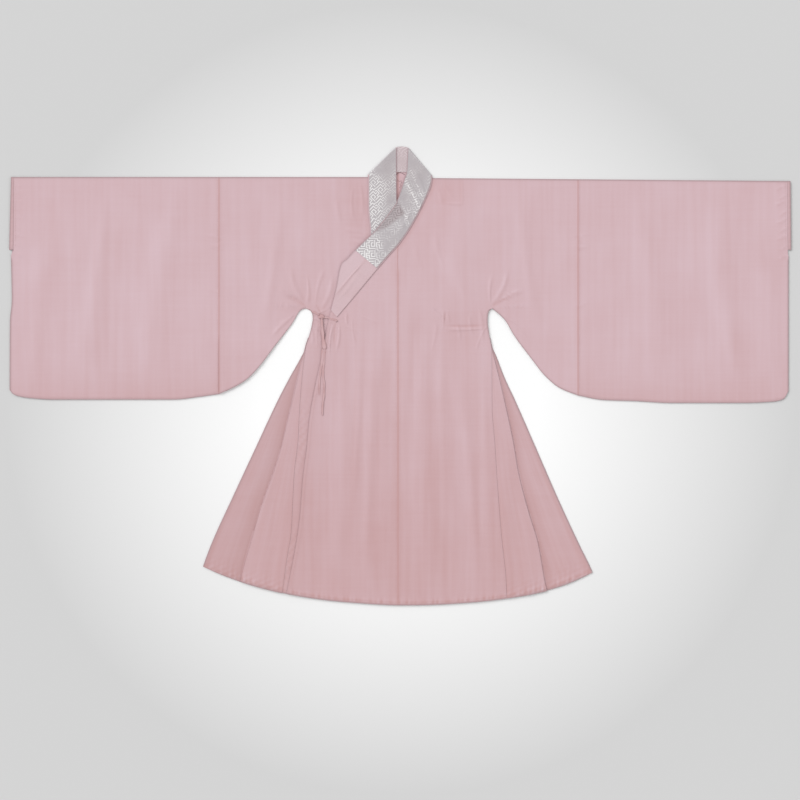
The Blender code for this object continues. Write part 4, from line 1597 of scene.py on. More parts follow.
@dataclass
class Sleeve:
    """A wide sleeve: one cloth folded over the top, open only in the cuff's upper part."""

    side: Side
    finishes: Finishes
    column_step: float = 7.0
    row_step: float = 5.0
    back_rows: int = 20

    def front_height(self, u: Array, v: Array) -> Array:
        """Give the front layer's height, raised a little where the cuff is open."""
        end = PLAN.sleeve_ends[self.side].rows[0][1]
        near_end = rise(np.abs(u), end - 95.0, end - 5.0)
        opening = 1.0 - rise(v, 177.0, 247.0)
        return FRONT_Z + 1.2 * near_end * opening

    def build(self) -> bpy.types.Object:
        """Make the sleeve's shell."""
        side, sign = self.side, self.side.sign
        seam = PLAN.sleeve_seam(side)
        end = PLAN.sleeve_bottoms[side].rows[-1][0]
        rows = round(600.0 / self.row_step)
        columns = []
        for out in spread(seam, end, self.column_step, FINE_EDGES + CUFF_COLUMNS):
            share = (out - seam) / (end - seam)
            top = float(PLAN.shoulder_top(side, out))
            bottom = float(PLAN.sleeve_bottoms[side](out))
            v = top + (bottom - top) * np.linspace(0.0, 1.0, rows + 1)
            back_v = top + (bottom - top) * np.linspace(0.0, 1.0, self.back_rows)
            u = sign * (seam + share * (PLAN.sleeve_ends[side](v) - seam))
            back_u = sign * (seam + share * (PLAN.sleeve_ends[side](back_v) - seam))
            extra, tone, rim = self.detail(u, v, seam)
            columns.append(
                folded_column(u, v, back_v, back_u, top, self.front_height, extra, tone, rim)
            )
        cloth = Lattice.from_columns(columns)
        return cloth_piece(f"{side.value}_sleeve_cloth", cloth, self.finishes.sheer)

    def detail(self, u: Array, v: Array, seam: float) -> tuple[Array, Array, Array]:
        """Work out creases, the seam, the bottom edge, the cuff and colour."""
        out = np.abs(u)
        off_seam = out - seam
        extra, crease_shade = SLEEVE_RELIEF(u, v)
        extra = extra + seam_pucker(v, off_seam, 0.25) * (off_seam < 40.0)
        from_bottom = PLAN.sleeve_bottoms[self.side](out) - v
        extra = extra + seam_pucker(u, np.abs(from_bottom), 0.3) * (from_bottom < 40.0)
        from_end = PLAN.sleeve_ends[self.side](v) - out
        shut = rise(v, 195.0, 230.0)
        extra = extra + seam_pucker(v, np.abs(from_end), 0.3) * (from_end < 40.0) * shut
        # Colour depth, with the shade painted along the creases
        tone = tone_at(u, v) + seam_depth(off_seam) + crease_shade
        tone = tone + 0.42 * fade(np.abs(from_bottom), 60.0)
        below_fold = v - PLAN.shoulder_top(self.side, out)
        rim = outline_dark(from_bottom, from_end + 9.0 * (1.0 - shut), below_fold)
        return extra, tone, rim


@dataclass
class CuffFacing:
    """The facing strip round the open upper part of a sleeve's end."""

    side: Side
    finishes: Finishes
    opening: float = 197.0

    def build(self) -> bpy.types.Object:
        """Make the facing's shell."""
        side, sign = self.side, self.side.sign
        sleeve = Sleeve(side, self.finishes)
        top = float(PLAN.shoulder_top(side, PLAN.sleeve_ends[side].rows[0][1]))
        v = np.linspace(top, self.opening, 60)
        back_v = np.linspace(top, self.opening, 14)
        columns = []
        for share in np.linspace(0.0, 1.0, 9):
            inner, outer = PLAN.sleeve_ends[side], PLAN.facing_ends[side]

            def out(at: Array, part: float = float(share)) -> Array:
                """Place one column between the facing's two edges."""
                return inner(at) + 0.1 + part * (outer(at) - inner(at))

            wave = 0.5 + 0.5 * np.sin(v * 0.42 + 1.4 * np.sin(v * 0.06))
            extra = 0.45 + 0.5 * wave * math.sin(math.pi * float(share))
            tone = tone_at(sign * out(v), v) + 0.35 + 0.15 * wave
            rim = outline_dark(outer(v) - out(v), v - top, self.opening - v)
            rim = np.maximum(rim, 0.5 * outline_dark(out(v) - inner(v)))
            columns.append(
                folded_column(
                    sign * out(v), v, back_v, sign * out(back_v), top,
                    sleeve.front_height, extra, tone, rim,
                )
            )
        cloth = Lattice.from_columns(columns)
        return cloth_piece(f"{side.value}_cuff_facing", cloth, self.finishes.sheer)


@dataclass
class SideGore:
    """The pleated gore at a side: one cloth folded in leaves that fan towards the hem."""

    side: Side
    finishes: Finishes
    top_v: float = 434.0
    rows: int = 170
    leaf_counts: tuple[int, int, int, int] = (38, 5, 66, 8)

    def section(self, v: Array) -> tuple[Array, Array, Array, Array, Array]:
        """Lay out the gore across each level.

        Args:
            v: The levels, one for each point of the section.

        Returns:
            Distance out, height, normal across, normal up, and leaf number of each point.
        """
        radius = (LEAF_Z[0] - LEAF_Z[1]) / 2.0
        inset = radius + CLOTH / 2.0
        seam = PLAN.side_seams[self.side](v) + 0.4
        open_up = rise(v, self.top_v, self.top_v + 40.0)
        fold = np.maximum(PLAN.gore_folds[self.side](v) - inset, seam + 0.1 + 1.5 * open_up)
        edge = np.maximum(PLAN.gore_edges[self.side](v) - inset, fold + 0.1 + 0.7 * open_up)
        inner = np.minimum(seam + 0.5 + inset, fold)
        out, height, across, up, leaf = [], [], [], [], []
        runs = ((seam, fold), (fold, inner), (inner, edge), (edge, seam))
        for number, ((start, end), count) in enumerate(zip(runs, self.leaf_counts)):
            share = np.linspace(0.0, 1.0, count)
            facing = 1.0 if number % 2 == 0 else -1.0
            for part in share:
                out.append(start + (end - start) * part)
                height.append(np.full(len(v), LEAF_Z[number]))
                across.append(0.0)
                up.append(facing)
                leaf.append(number)
            if number == 3:
                break
            outwards = number != 1
            for angle in np.pi * np.arange(1, TURN_STEPS) / TURN_STEPS:
                direction = 1.0 if outwards else -1.0
                out.append(end + direction * radius * math.sin(angle))
                middle = (LEAF_Z[number] + LEAF_Z[number + 1]) / 2.0
                height.append(np.full(len(v), middle + radius * math.cos(angle)))
                across.append(math.sin(angle))
                up.append(math.cos(angle) if outwards else -math.cos(angle))
                leaf.append(number)
        return (np.array(out).T, np.array(height).T, np.array(across), np.array(up), np.array(leaf))

    def build(self) -> bpy.types.Object:
        """Make the gore's shell."""
        sign = self.side.sign
        ends = PLAN.hem(sign * self.section(np.array([GORE_FOOT_V]))[0][0])
        share = np.linspace(0.0, 1.0, self.rows + 1)
        v = self.top_v + (ends[None, :] - self.top_v) * share[:, None]
        out = np.empty_like(v)
        height = np.empty_like(v)
        for k in range(v.shape[1]):
            levels, heights, across, up, leaf = self.section(v[:, k])
            out[:, k], height[:, k] = levels[:, k], heights[:, k]
        u = sign * out
        below = PLAN.hem(u) - v
        seam = PLAN.side_seams[self.side](v)
        fold = PLAN.gore_folds[self.side](v)
        edge = PLAN.gore_edges[self.side](v)
        top_leaf = leaf[None, :] == 0
        low_leaf = (leaf[None, :] == 2) & (out > fold + 2.0)
        shown = top_leaf | low_leaf
        faces_up = up[None, :] > 0.9
        pucker = hem_pucker(u, below) * (below < 60.0)
        crumple = np.sin(u * 0.34 + v * 0.22) * np.sin(u * 0.15 - v * 0.19 + 1.0)
        crumple = crumple * fade(below, 16.0)
        pucker = pucker + 1.3 * np.maximum(crumple, 0.0)
        soft = 0.7 * np.sin((out - seam) * 0.055 + v * 0.004) ** 2 * rise(v, 500.0, 700.0)
        middle = bell(out - (fold + edge) / 2.0, 26.0) * rise(v, 560.0, 800.0)
        height = height + shown * faces_up * (pucker + soft * top_leaf * 0.6 + middle * low_leaf)
        right = 1.0 if self.side is Side.RIGHT else 0.0
        # Painted light and shade on the hem's crumples: paler where they rise, deeper where they
        # sink
        tone = tone_at(u, v) + 0.12 + hem_tone_and_shade(u, below) - 1.1 * crumple
        tone = tone + right * (0.16 * low_leaf + 0.08 * top_leaf)
        # Painted shadow on the lower leaf, falling off outwards from the upper leaf's fold
        tone = tone + 0.9 * fade(out - fold, 16.0) * low_leaf
        tone = tone + 0.24 * fade(np.abs(out - seam), 9.0) * top_leaf
        inside = np.abs(edge - out)
        tone = tone + 0.35 * bell(inside - 9.0, 7.0) * rise(v, 560.0, 800.0) * low_leaf
        rim = outline_dark(below, 0.75 * inside)
        # Painted shade in the rim colour: a dark line along the fold's edge, and the upper leaf's
        # shadow on the lower leaf
        rim = np.maximum(rim, 0.35 * bell(fold - out, 2.2) * top_leaf)
        rim = np.maximum(rim, 0.34 * fade(out - fold, 9.0) * low_leaf)
        rim = rim + right * 0.10 * low_leaf * (1.0 - rim)
        normals = np.zeros((*v.shape, 3))
        normals[..., 0] = sign * across[None, :]
        normals[..., 2] = up[None, :]
        run = np.cumsum(np.abs(np.gradient(out[-1])))
        fabric = np.stack([np.broadcast_to(run, v.shape), v], -1)
        lattice = Lattice(
            np.stack([u, v, height], axis=-1), normals, fabric, tone, rim, np.ones(v.shape, bool)
        )
        return cloth_piece(f"{self.side.value}_gore_cloth", lattice, self.finishes.sheer)


@dataclass(frozen=True)
class CollarPath:
    """The collar strip's stations, as lines across it, from its hidden end to its corner.

    Each row is inner u, inner v, outer u, outer v.
    """

    under: tuple[tuple[float, float, float, float], ...] = (
        (160, 285, 110, 345), (125, 240, 70, 300), (95, 205, 35, 268), (60, 165, -12, 236),
        (30, 130, -52, 202), (5, 98, -79, 168), (-8, 68, -82, 137), (-10, 30, -86, 102),
        (-10, -5, -87, 70), (-10, -40, -87, 36), (-10, -68, -87, 8),
    )
    fold_under: tuple[float, float, float, float] = (-9, -79, -87, -3)
    back: tuple[tuple[float, float, float, float], ...] = (
        (-7, -81, -68, -5.1), (-2, -81.5, -40, -10.5), (6, -82, 0, -13.4),
        (13, -81, 40, -10.5), (19, -80, 68, -5.1),
    )
    fold_over: tuple[float, float, float, float] = (21, -77, 86, 0)
    over: tuple[tuple[float, float, float, float], ...] = (
        (20, -64, 86, 11), (19, -38, 83, 26), (17, -12, 77, 42), (9, 14, 69, 60),
        (0, 42, 57, 85), (-12, 73, 41, 115), (-30, 98, 21, 149), (-50, 124, -4, 184),
        (-72, 150, -26, 208), (-97, 174, -44, 229), (-121, 198, -61, 248),
    )
    lower: tuple[tuple[float, float, float, float], ...] = (
        (-141, 220, -88, 280), (-160, 240, -117, 315), (-172, 300, -146, 349),
        (-187, 359, -171, 378),
    )


class CollarPart(Enum):
    """Which of the collar's strips is being made."""

    BAND = "band"
    GUARD = "guard"


def smooth_rows(rows: Sequence[Sequence[float]], per_span: int) -> Array:
    """Put more stations between rows, on a smooth curve through them.

    Args:
        rows: Stations as numbers.
        per_span: How many steps to make of each span.

    Returns:
        The stations, with the given ones among them.
    """
    given = np.array(rows, float)
    before = np.vstack([2 * given[0] - given[1], given[:-1]])
    after = np.vstack([given[1:], 2 * given[-1] - given[-2]])
    tangent = (after - before) / 2.0
    made = []
    for k in range(len(given) - 1):
        for t in np.arange(per_span) / per_span:
            made.append(hermite(t, given[k], tangent[k], given[k + 1], tangent[k + 1]))
    made.append(given[-1])
    return np.array(made)


def inside_corners(
    u: Array, v: Array, corners: Sequence[tuple[float, float]], soft: float
) -> Array:
    """Say how far each place is inside a convex outline.

    Args:
        u: u of each place.
        v: v of each place.
        corners: The outline's corners in turn.
        soft: Width of its soft edge.

    Returns:
        1 well inside and 0 outside.
    """
    middle_u = sum(corner[0] for corner in corners) / len(corners)
    middle_v = sum(corner[1] for corner in corners) / len(corners)
    share = 1.0
    for (u0, v0), (u1, v1) in zip(corners, [*corners[1:], corners[0]]):
        run = math.hypot(u1 - u0, v1 - v0)
        off = ((u - u0) * (v1 - v0) - (v - v0) * (u1 - u0)) / run
        side = math.copysign(1.0, (middle_u - u0) * (v1 - v0) - (middle_v - v0) * (u1 - u0))
        share = share * rise(off * side, -soft, soft)
    return share


@dataclass
class Collar:
    """The collar band or the guard collar over it, folded once at each side of the neck."""

    part: CollarPart
    finishes: Finishes
    path: CollarPath = CollarPath()
    per_span: int = 11

    def build(self) -> bpy.types.Object:
        """Make the strip's shell."""
        guard = self.part is CollarPart.GUARD
        offset = STEP if guard else 0.0
        end = 0.955 if guard else 1.0
        start = 1.7 if guard else 0.0
        shares = np.array(spread(start, COLLAR_WIDTH * end, 2.4, (1.0, 2.2, 3.6)))
        shares = shares / COLLAR_WIDTH
        under_z, back_z = FRONT_Z + STEP + 0.1, BACK_Z + STEP
        under = self.path.under[2:] if guard else self.path.under
        over = self.path.over if guard else self.path.over + self.path.lower
        levels: list[tuple[Array, Array, Array, bool]] = []
        for row in smooth_rows([*under, self.path.fold_under], self.per_span)[:-1]:
            levels.append((row, np.array([0, 0, 1.0]), np.full(2, under_z), True))
        levels += self.turn(self.path.fold_under, under_z, back_z, -1.0)
        back = [self.path.fold_under, *self.path.back, self.path.fold_over]
        for row in smooth_rows(back, 4)[1:-1]:
            levels.append((row, np.array([0, 0, -1.0]), np.full(2, back_z), False))
        levels += self.turn(self.path.fold_over, under_z, back_z, 1.0)[::-1]
        for row in smooth_rows([self.path.fold_over, *over], self.per_span)[1:]:
            levels.append((row, np.array([0, 0, 1.0]), np.full(2, np.nan), True))
        points, normals, fabric, tone, accent = [], [], [], [], []
        length = 0.0
        before: Array | None = None
        for k, (row, normal, z, facing_up) in enumerate(levels):
            u = row[0] + (row[2] - row[0]) * shares
            v = row[1] + (row[3] - row[1]) * shares
            if np.isnan(z[0]):
                height = PLAN.outer_front(u, v) + 1.5 - 0.1 * (1.0 - rise(v, 0.0, 50.0))
            else:
                height = np.full(len(u), z[0])
            centre = np.array([(row[0] + row[2]) / 2.0, (row[1] + row[3]) / 2.0])
            ahead = levels[min(k + 1, len(levels) - 1)][0]
            behind = levels[max(k - 1, 0)][0]
            tangent = np.array(
                [ahead[0] + ahead[2] - behind[0] - behind[2],
                 ahead[1] + ahead[3] - behind[1] - behind[3]]
            )
            if np.hypot(*tangent) > 1e-6:
                tangent = tangent / np.hypot(*tangent)
                last_tangent = tangent
            else:
                tangent = last_tangent
            if before is not None:
                length += max(0.25, float(np.hypot(*(centre - before))))
            before = centre
            ruling = np.array([row[2] - row[0], row[3] - row[1]])
            slip = (shares - 0.5) * float(ruling @ tangent)
            width = (shares - 0.5) * abs(float(ruling[0] * tangent[1] - ruling[1] * tangent[0]))
            detail = self.detail(u, v, shares, np.isnan(z[0]), facing_up)
            points.append(np.stack([u, v, height], 1) + normal * (offset + detail)[:, None])
            normals.append(np.tile(normal, (len(u), 1)))
            fabric.append(np.stack([length + slip, width], axis=1))
            deep, second = self.tone(u, v, shares, np.isnan(z[0]), facing_up)
            tone.append(deep)
            accent.append(second)
        grids = (np.array(part) for part in (points, normals, fabric, tone, accent))
        lattice = Lattice(*grids, np.ones((len(points), len(shares)), bool))
        if guard:
            brocade = self.finishes.brocade
            return cloth_piece("guard_collar_brocade", lattice, brocade, COLLAR_SHELL)
        piece = cloth_piece("collar_band_cloth", lattice, self.finishes.band, COLLAR_SHELL)
        self.turn_in(piece)
        return piece

    def turn_in(self, piece: bpy.types.Object) -> None:
        """Dress the band's inside at the back neck, where the brocade is turned in over it."""
        piece.data.materials.append(self.finishes.reverse)
        for polygon in piece.data.polygons:
            x, y, z = polygon.center
            if abs(x) < 0.075 and y > SHOULDER_Y * MM and z < 0.0026 and polygon.normal.z > 0.6:
                polygon.material_index = 1

    def turn(
        self, fold: tuple[float, ...], upper: float, lower: float, sign: float
    ) -> list[tuple[Array, Array, Array, bool]]:
        """Fold the strip over at the side of the neck, upper layer first.

        Args:
            fold: The fold's line across the strip.
            upper: Height of the upper layer.
            lower: Height of the lower layer.
            sign: Which way the fold faces.

        Returns:
            The turn's stations.
        """
        row = np.array(fold, float)
        along = np.array([row[2] - row[0], row[3] - row[1]])
        along = along / np.hypot(*along)
        out = np.array([along[1], -along[0]])
        if out[0] * sign < 0.0:
            out = -out
        radius = (upper - lower) / 2.0
        stations = []
        for step in range(9):
            angle = math.pi * step / 8
            normal = np.array([*(out * math.sin(angle)), math.cos(angle)])
            shift = radius * math.sin(angle)
            moved = row + np.array([out[0], out[1], out[0], out[1]]) * shift
            height = (upper + lower) / 2.0 + radius * math.cos(angle)
            stations.append((moved, normal, np.full(2, height), step < 5))
        return stations

    def detail(self, u: Array, v: Array, shares: Array, over: bool, facing_up: bool) -> Array:
        """Work out creases and turned edges, as a height off the strip."""
        inset = np.minimum(shares, shares.max() - shares) * COLLAR_WIDTH
        edge = 0.25 * (1.0 - rise(inset, 1.5, 4.0))
        if not over:
            return edge if facing_up else 0.0 * shares
        rows = GUARD_CREASES if self.part is CollarPart.GUARD else BAND_CREASES
        return edge + Relief(tuple(creases(rows, CreaseShape.RIDGE)))(u, v)[0]

    def tone(
        self, u: Array, v: Array, shares: Array, over: bool, facing_up: bool
    ) -> tuple[Array, Array]:
        """Work out the strip's two colour values.

        Args:
            u: u of each point across the strip.
            v: v of each point.
            shares: Place across the strip, from its inner edge.
            over: Whether it is the piece that lies on top.
            facing_up: Whether its outer face looks up.

        Returns:
            For the band, colour depth and rim. For the brocade, its painted dark sheen and painted
            glint.
        """
        inset = np.minimum(shares, shares.max() - shares) * COLLAR_WIDTH
        if self.part is CollarPart.BAND:
            if not facing_up:
                return 0.0 * shares, 0.1 + 0.0 * shares
            tone = np.full(len(u), -0.02)
            if over:
                (u0, v0), (u1, v1) = BAND_FOLD
                run = math.hypot(u1 - u0, v1 - v0)
                beyond = ((u - u0) * (v1 - v0) - (v - v0) * (u1 - u0)) / -run
                # Painted shade on the band's crease line; the cloth beyond the crease is paler
                tone = tone - 0.2 * rise(beyond, 0.0, 6.0) + 0.45 * fade(np.abs(beyond), 2.0)
            return tone, (0.55 if over else 0.25) * bell(inset, 2.2)
        # Painted reflection on the brocade: patches where its sheen is painted dark, painted glints
        # on its fret and satin highlights painted along its folds
        dark, glint = np.zeros(len(u)), np.zeros(len(u))
        if facing_up:
            dark = patched(u, v, SHEEN_OVER if over else SHEEN_UNDER)
            glint = patched(u, v, GLINT_OVER if over else GLINT_UNDER)
        if over:
            for u0, v0, u1, v1, width, amount in GLINT_LINES:
                gap = line_gap(u, v, ((u0, v0), (u1, v1)))
                glint = glint + amount * bell(gap, width) * (0.7 + 0.3 * np.sin(v * 0.31))
            dark_sheen_zone = inside_corners(u, v, DARK_SHEEN_CORNERS, 5.0)
            dark = dark + 0.78 * dark_sheen_zone
            glint = glint - 0.4 * dark_sheen_zone
        # The guard's edges are also mixed towards its painted dark-sheen colours
        return dark + (0.45 if over else 0.2) * bell(inset, 1.6), glint


@dataclass
class TieRibbon:
    """One stretch of a narrow tie, folded from a wider strip.

    Attributes:
        name: The piece's name.
        route: Its middle and its finished width as (u, v, z, width) rows.
        across: Direction of its width in the plan.
        finishes: The robe's finishes.
        curl: How far its edges stand up along it.
    """

    name: str
    route: tuple[tuple[float, float, float, float], ...]
    across: tuple[float, float]
    finishes: Finishes
    curl: float = 0.35

    def length(self) -> float:
        """Give the stretch's length in millimetres."""
        line = smooth_rows(self.route, 8)[:, :3]
        return float(np.linalg.norm(np.diff(line, axis=0), axis=1).sum())

    def build(self) -> bpy.types.Object:
        """Make the ribbon's shell."""
        stations = smooth_rows(self.route, 8)
        line, wide = stations[:, :3], stations[:, 3]
        tangent = np.gradient(line, axis=0)
        tangent = tangent / np.linalg.norm(tangent, axis=1)[:, None]
        side = np.array([self.across[0], self.across[1], 0.0])
        side = side / np.linalg.norm(side)
        square = side - tangent * (tangent @ side)[:, None]
        square = square / np.linalg.norm(square, axis=1)[:, None]
        normal = np.cross(square, tangent)
        for k in range(1, len(normal)):
            if normal[k] @ normal[k - 1] < 0.0:
                normal[k] = -normal[k]
        if normal[0, 2] < 0.0:
            normal = -normal
        run = np.concatenate([[0.0], np.cumsum(np.linalg.norm(np.diff(line, axis=0), axis=1))])
        shares = np.linspace(-0.5, 0.5, 9)
        wide = wide * (1.0 + 0.12 * np.sin(run * 0.21))
        points = (
            line[:, None, :]
            + square[:, None, :] * (shares[None, :, None] * wide[:, None, None])
            + normal[:, None, :]
            * (self.curl * (2.0 * np.abs(shares)[None, :] ** 2) * np.sin(run * 0.3)[:, None])[
                ..., None
            ]
        )
        normals = np.repeat(normal[:, None, :], len(shares), axis=1)
        fabric = np.stack(np.broadcast_arrays(shares[None, :] * wide[:, None], run[:, None]), -1)
        edge = np.abs(2.0 * shares[None, :])
        tone = 0.6 + 0.4 * edge**3 + 0.25 * np.sin(run * 0.13)[:, None]
        patchy = 0.45 + 0.55 * np.sin(run * 0.09 + 1.0)[:, None] * np.sign(shares)[None, :]
        rim = edge**4 * np.clip(patchy, 0.3, 1.0)
        lattice = Lattice(points, normals, fabric, tone, rim, np.ones(tone.shape, bool))
        return cloth_piece(self.name, lattice, self.finishes.tie, TIE_SHELL)


@dataclass
class BowKnot:
    """The bow's knot: ribbon wrapped tight, with its turns showing as ridges."""

    finishes: Finishes
    centre: tuple[float, float, float] = (-212.0, 377.0, 5.8)
    half: tuple[float, float, float] = (8.2, 5.6, 2.5)

    def build(self) -> bpy.types.Object:
        """Make the knot."""
        around = np.linspace(0.0, 2.0 * math.pi, 49)
        rings = np.linspace(0.04, math.pi - 0.04, 25)
        turn, tilt = np.meshgrid(around, rings)
        wrap = 1.0 + 0.15 * np.sin(3.0 * turn + 2.2 * np.cos(tilt)) - 0.05 * np.sin(7.0 * turn)
        x = np.sin(tilt) * np.cos(turn) * wrap
        y = np.sin(tilt) * np.sin(turn) * wrap
        z = np.cos(tilt) * (1.0 + 0.12 * np.sin(2.0 * turn + 1.0) * np.sin(tilt))
        points = np.stack(
            [
                self.centre[0] + self.half[0] * x,
                self.centre[1] + self.half[1] * y,
                self.centre[2] + self.half[2] * z,
            ],
            axis=-1,
        )
        mesh = bpy.data.meshes.new("tie_knot_wrap")
        rows, cols = x.shape
        ring = to_world(points[:, :-1]).reshape(-1, 3)
        verts = [tuple(v) for v in ring]
        verts.append(tuple(to_world(points[0, :-1]).mean(axis=0)))
        verts.append(tuple(to_world(points[-1, :-1]).mean(axis=0)))
        count = cols - 1
        faces: list[tuple[int, ...]] = []
        for i in range(rows - 1):
            for j in range(count):
                k = (j + 1) % count
                here, after = i * count, (i + 1) * count
                faces.append((here + j, after + j, after + k, here + k))
        for j in range(count):
            k = (j + 1) % count
            faces.append((j, k, len(verts) - 2))
            faces.append(((rows - 1) * count + k, (rows - 1) * count + j, len(verts) - 1))
        mesh.from_pydata(verts, [], faces)
        mesh.update()
        layer = mesh.uv_layers.new(name="fabric")
        places = np.array(verts)[[loop.vertex_index for loop in mesh.loops]]
        layer.data.foreach_set("uv", places[:, :2].astype(np.float32).ravel())
        wave = np.sin(np.arange(len(verts)) * 0.7)
        set_values(mesh, 0.9 + 0.3 * wave, 0.15 + 0.15 * wave)
        mesh.polygons.foreach_set("use_smooth", np.ones(len(mesh.polygons), bool))
        return dress(faced_out(placed("tie_knot_wrap", mesh)), self.finishes.tie)


class ClothTop:
    """The topmost cloth of the finished pieces, to lay stitches on."""

    def __init__(self, pieces: Sequence[bpy.types.Object]) -> None:
        """Index the pieces' faces."""
        self.trees = []
        for piece in pieces:
            mesh = piece.data
            corner = np.empty(len(mesh.vertices) * 3)
            mesh.vertices.foreach_get("co", corner)
            index = np.empty(len(mesh.loops), np.int32)
            mesh.loops.foreach_get("vertex_index", index)
            self.trees.append(
                BVHTree.FromPolygons(
                    corner.reshape(-1, 3).tolist(), index.reshape(-1, 4).tolist()
                )
            )

    def place(self, u: float, v: float) -> Vector | None:
        """Find the cloth's highest point at one place, in metres."""
        start = Vector((u * MM, (SHOULDER_Y - v) * MM, 0.1))
        hits = [tree.ray_cast(start, Vector((0.0, 0.0, -1.0)))[0] for tree in self.trees]
        return max((hit for hit in hits if hit is not None), key=lambda hit: hit.z, default=None)


class StitchSocket(Enum):
    """The named inputs of the stitches' node tree."""

    PITCH = "Pitch"
    LENGTH = "Length"
    RADIUS = "Radius"
    THREAD = "Thread"


@dataclass(frozen=True)
class StitchLine:
    """Running stitches along seams and hems, laid out by geometry nodes.

    Attributes:
        name: The piece's name.
        paths: Ways over the cloth as rows of (u, v).
        pitch: From one stitch to the next, in millimetres.
        length: A stitch's length in millimetres.
        radius: The thread's radius in millimetres.
        dark: Whether it is sewn with the darker thread.
    """

    name: str
    paths: tuple[Array, ...]
    pitch: float = 4.6
    length: float = 3.0
    radius: float = 0.3
    dark: bool = False

    def chain(self, top: ClothTop) -> bpy.types.Object:
        """Lay the paths on the cloth as chains of edges."""
        places: list[Vector] = []
        edges: list[tuple[int, int]] = []
        for path in self.paths:
            before: int | None = None
            for u, v in path:
                place = top.place(float(u), float(v))
                if place is None:
                    before = None
                    continue
                places.append(place + Vector((0.0, 0.0, self.radius * 0.3 * MM)))
                if before is not None:
                    edges.append((before, len(places) - 1))
                before = len(places) - 1
        mesh = bpy.data.meshes.new(self.name)
        mesh.from_pydata(places, edges, [])
        return placed(self.name, mesh)

    def tree(self) -> bpy.types.NodeTree:
        """Build the node tree that sews along a chain of edges."""
        group = bpy.data.node_groups.new("running_stitch", "GeometryNodeTree")
        face = group.interface
        face.new_socket(name="Path", in_out="INPUT", socket_type="NodeSocketGeometry")
        for socket in (StitchSocket.PITCH, StitchSocket.LENGTH, StitchSocket.RADIUS):
            face.new_socket(name=socket.value, in_out="INPUT", socket_type="NodeSocketFloat")
        face.new_socket(
            name=StitchSocket.THREAD.value, in_out="INPUT", socket_type="NodeSocketMaterial"
        )
        face.new_socket(name="Stitches", in_out="OUTPUT", socket_type="NodeSocketGeometry")

        node = partial(add_node, group)
        given = node("NodeGroupInput", {}, {}).outputs
        pitch, length, radius, thread = (given[socket.value] for socket in StitchSocket)
        curve = node("GeometryNodeMeshToCurve", {}, {"Mesh": given["Path"]}).outputs["Curve"]
        evenly = node(
            "GeometryNodeResampleCurve", {"mode": "LENGTH"}, {"Curve": curve, "Length": pitch}
        )
        bead = node("GeometryNodeMeshUVSphere", {}, {"Segments": 6, "Rings": 4, "Radius": 1.0})
        half = node("ShaderNodeMath", {"operation": "MULTIPLY"}, {0: length, 1: 0.5}).outputs[0]
        size = node("ShaderNodeCombineXYZ", {}, {"X": radius, "Y": radius, "Z": half})
        stitch = node(
            "GeometryNodeTransform", {},
            {"Geometry": bead.outputs["Mesh"], "Scale": size.outputs["Vector"]},
        )
        way = node("GeometryNodeInputTangent", {}, {}).outputs["Tangent"]
        lie = node("FunctionNodeAlignRotationToVector", {"axis": "Z"}, {"Vector": way})
        uneven = node(
            "FunctionNodeRandomValue", {"data_type": "FLOAT"}, {2: 0.82, 3: 1.12, "Seed": 7}
        )
        laid = node(
            "GeometryNodeInstanceOnPoints", {},
            {
                "Points": evenly.outputs["Curve"],
                "Instance": stitch.outputs["Geometry"],
                "Rotation": lie.outputs["Rotation"],
                "Scale": uneven.outputs[1],
            },
        ).outputs["Instances"]
        real = node("GeometryNodeRealizeInstances", {}, {"Geometry": laid}).outputs["Geometry"]
        sewn = node("GeometryNodeSetMaterial", {}, {"Geometry": real, "Material": thread})
        node("NodeGroupOutput", {}, {"Stitches": sewn.outputs["Geometry"]})
        return group

    def build(self, top: ClothTop, thread: bpy.types.Material) -> bpy.types.Object:
        """Sew the stitches and turn them into a plain mesh.

        Args:
            top: The cloth that they lie on.
            thread: The thread's finish.

        Returns:
            The piece.
        """
        line = self.chain(top)
        group = self.tree()
        sewing = line.modifiers.new("stitches", "NODES")
        sewing.node_group = group
        sizes = (self.pitch * MM, self.length * MM, self.radius * MM)
        values = dict(zip((socket.value for socket in StitchSocket), (*sizes, thread)))
        for item in group.interface.items_tree:
            if item.item_type == "SOCKET" and item.in_out == "INPUT" and item.name in values:
                sewing[item.identifier] = values[item.name]
        shot = bpy.context.evaluated_depsgraph_get()
        mesh = bpy.data.meshes.new_from_object(line.evaluated_get(shot))
        mesh.name = self.name
        line.modifiers.clear()
        line.data = mesh
        mesh.polygons.foreach_set("use_smooth", np.ones(len(mesh.polygons), bool))
        return line


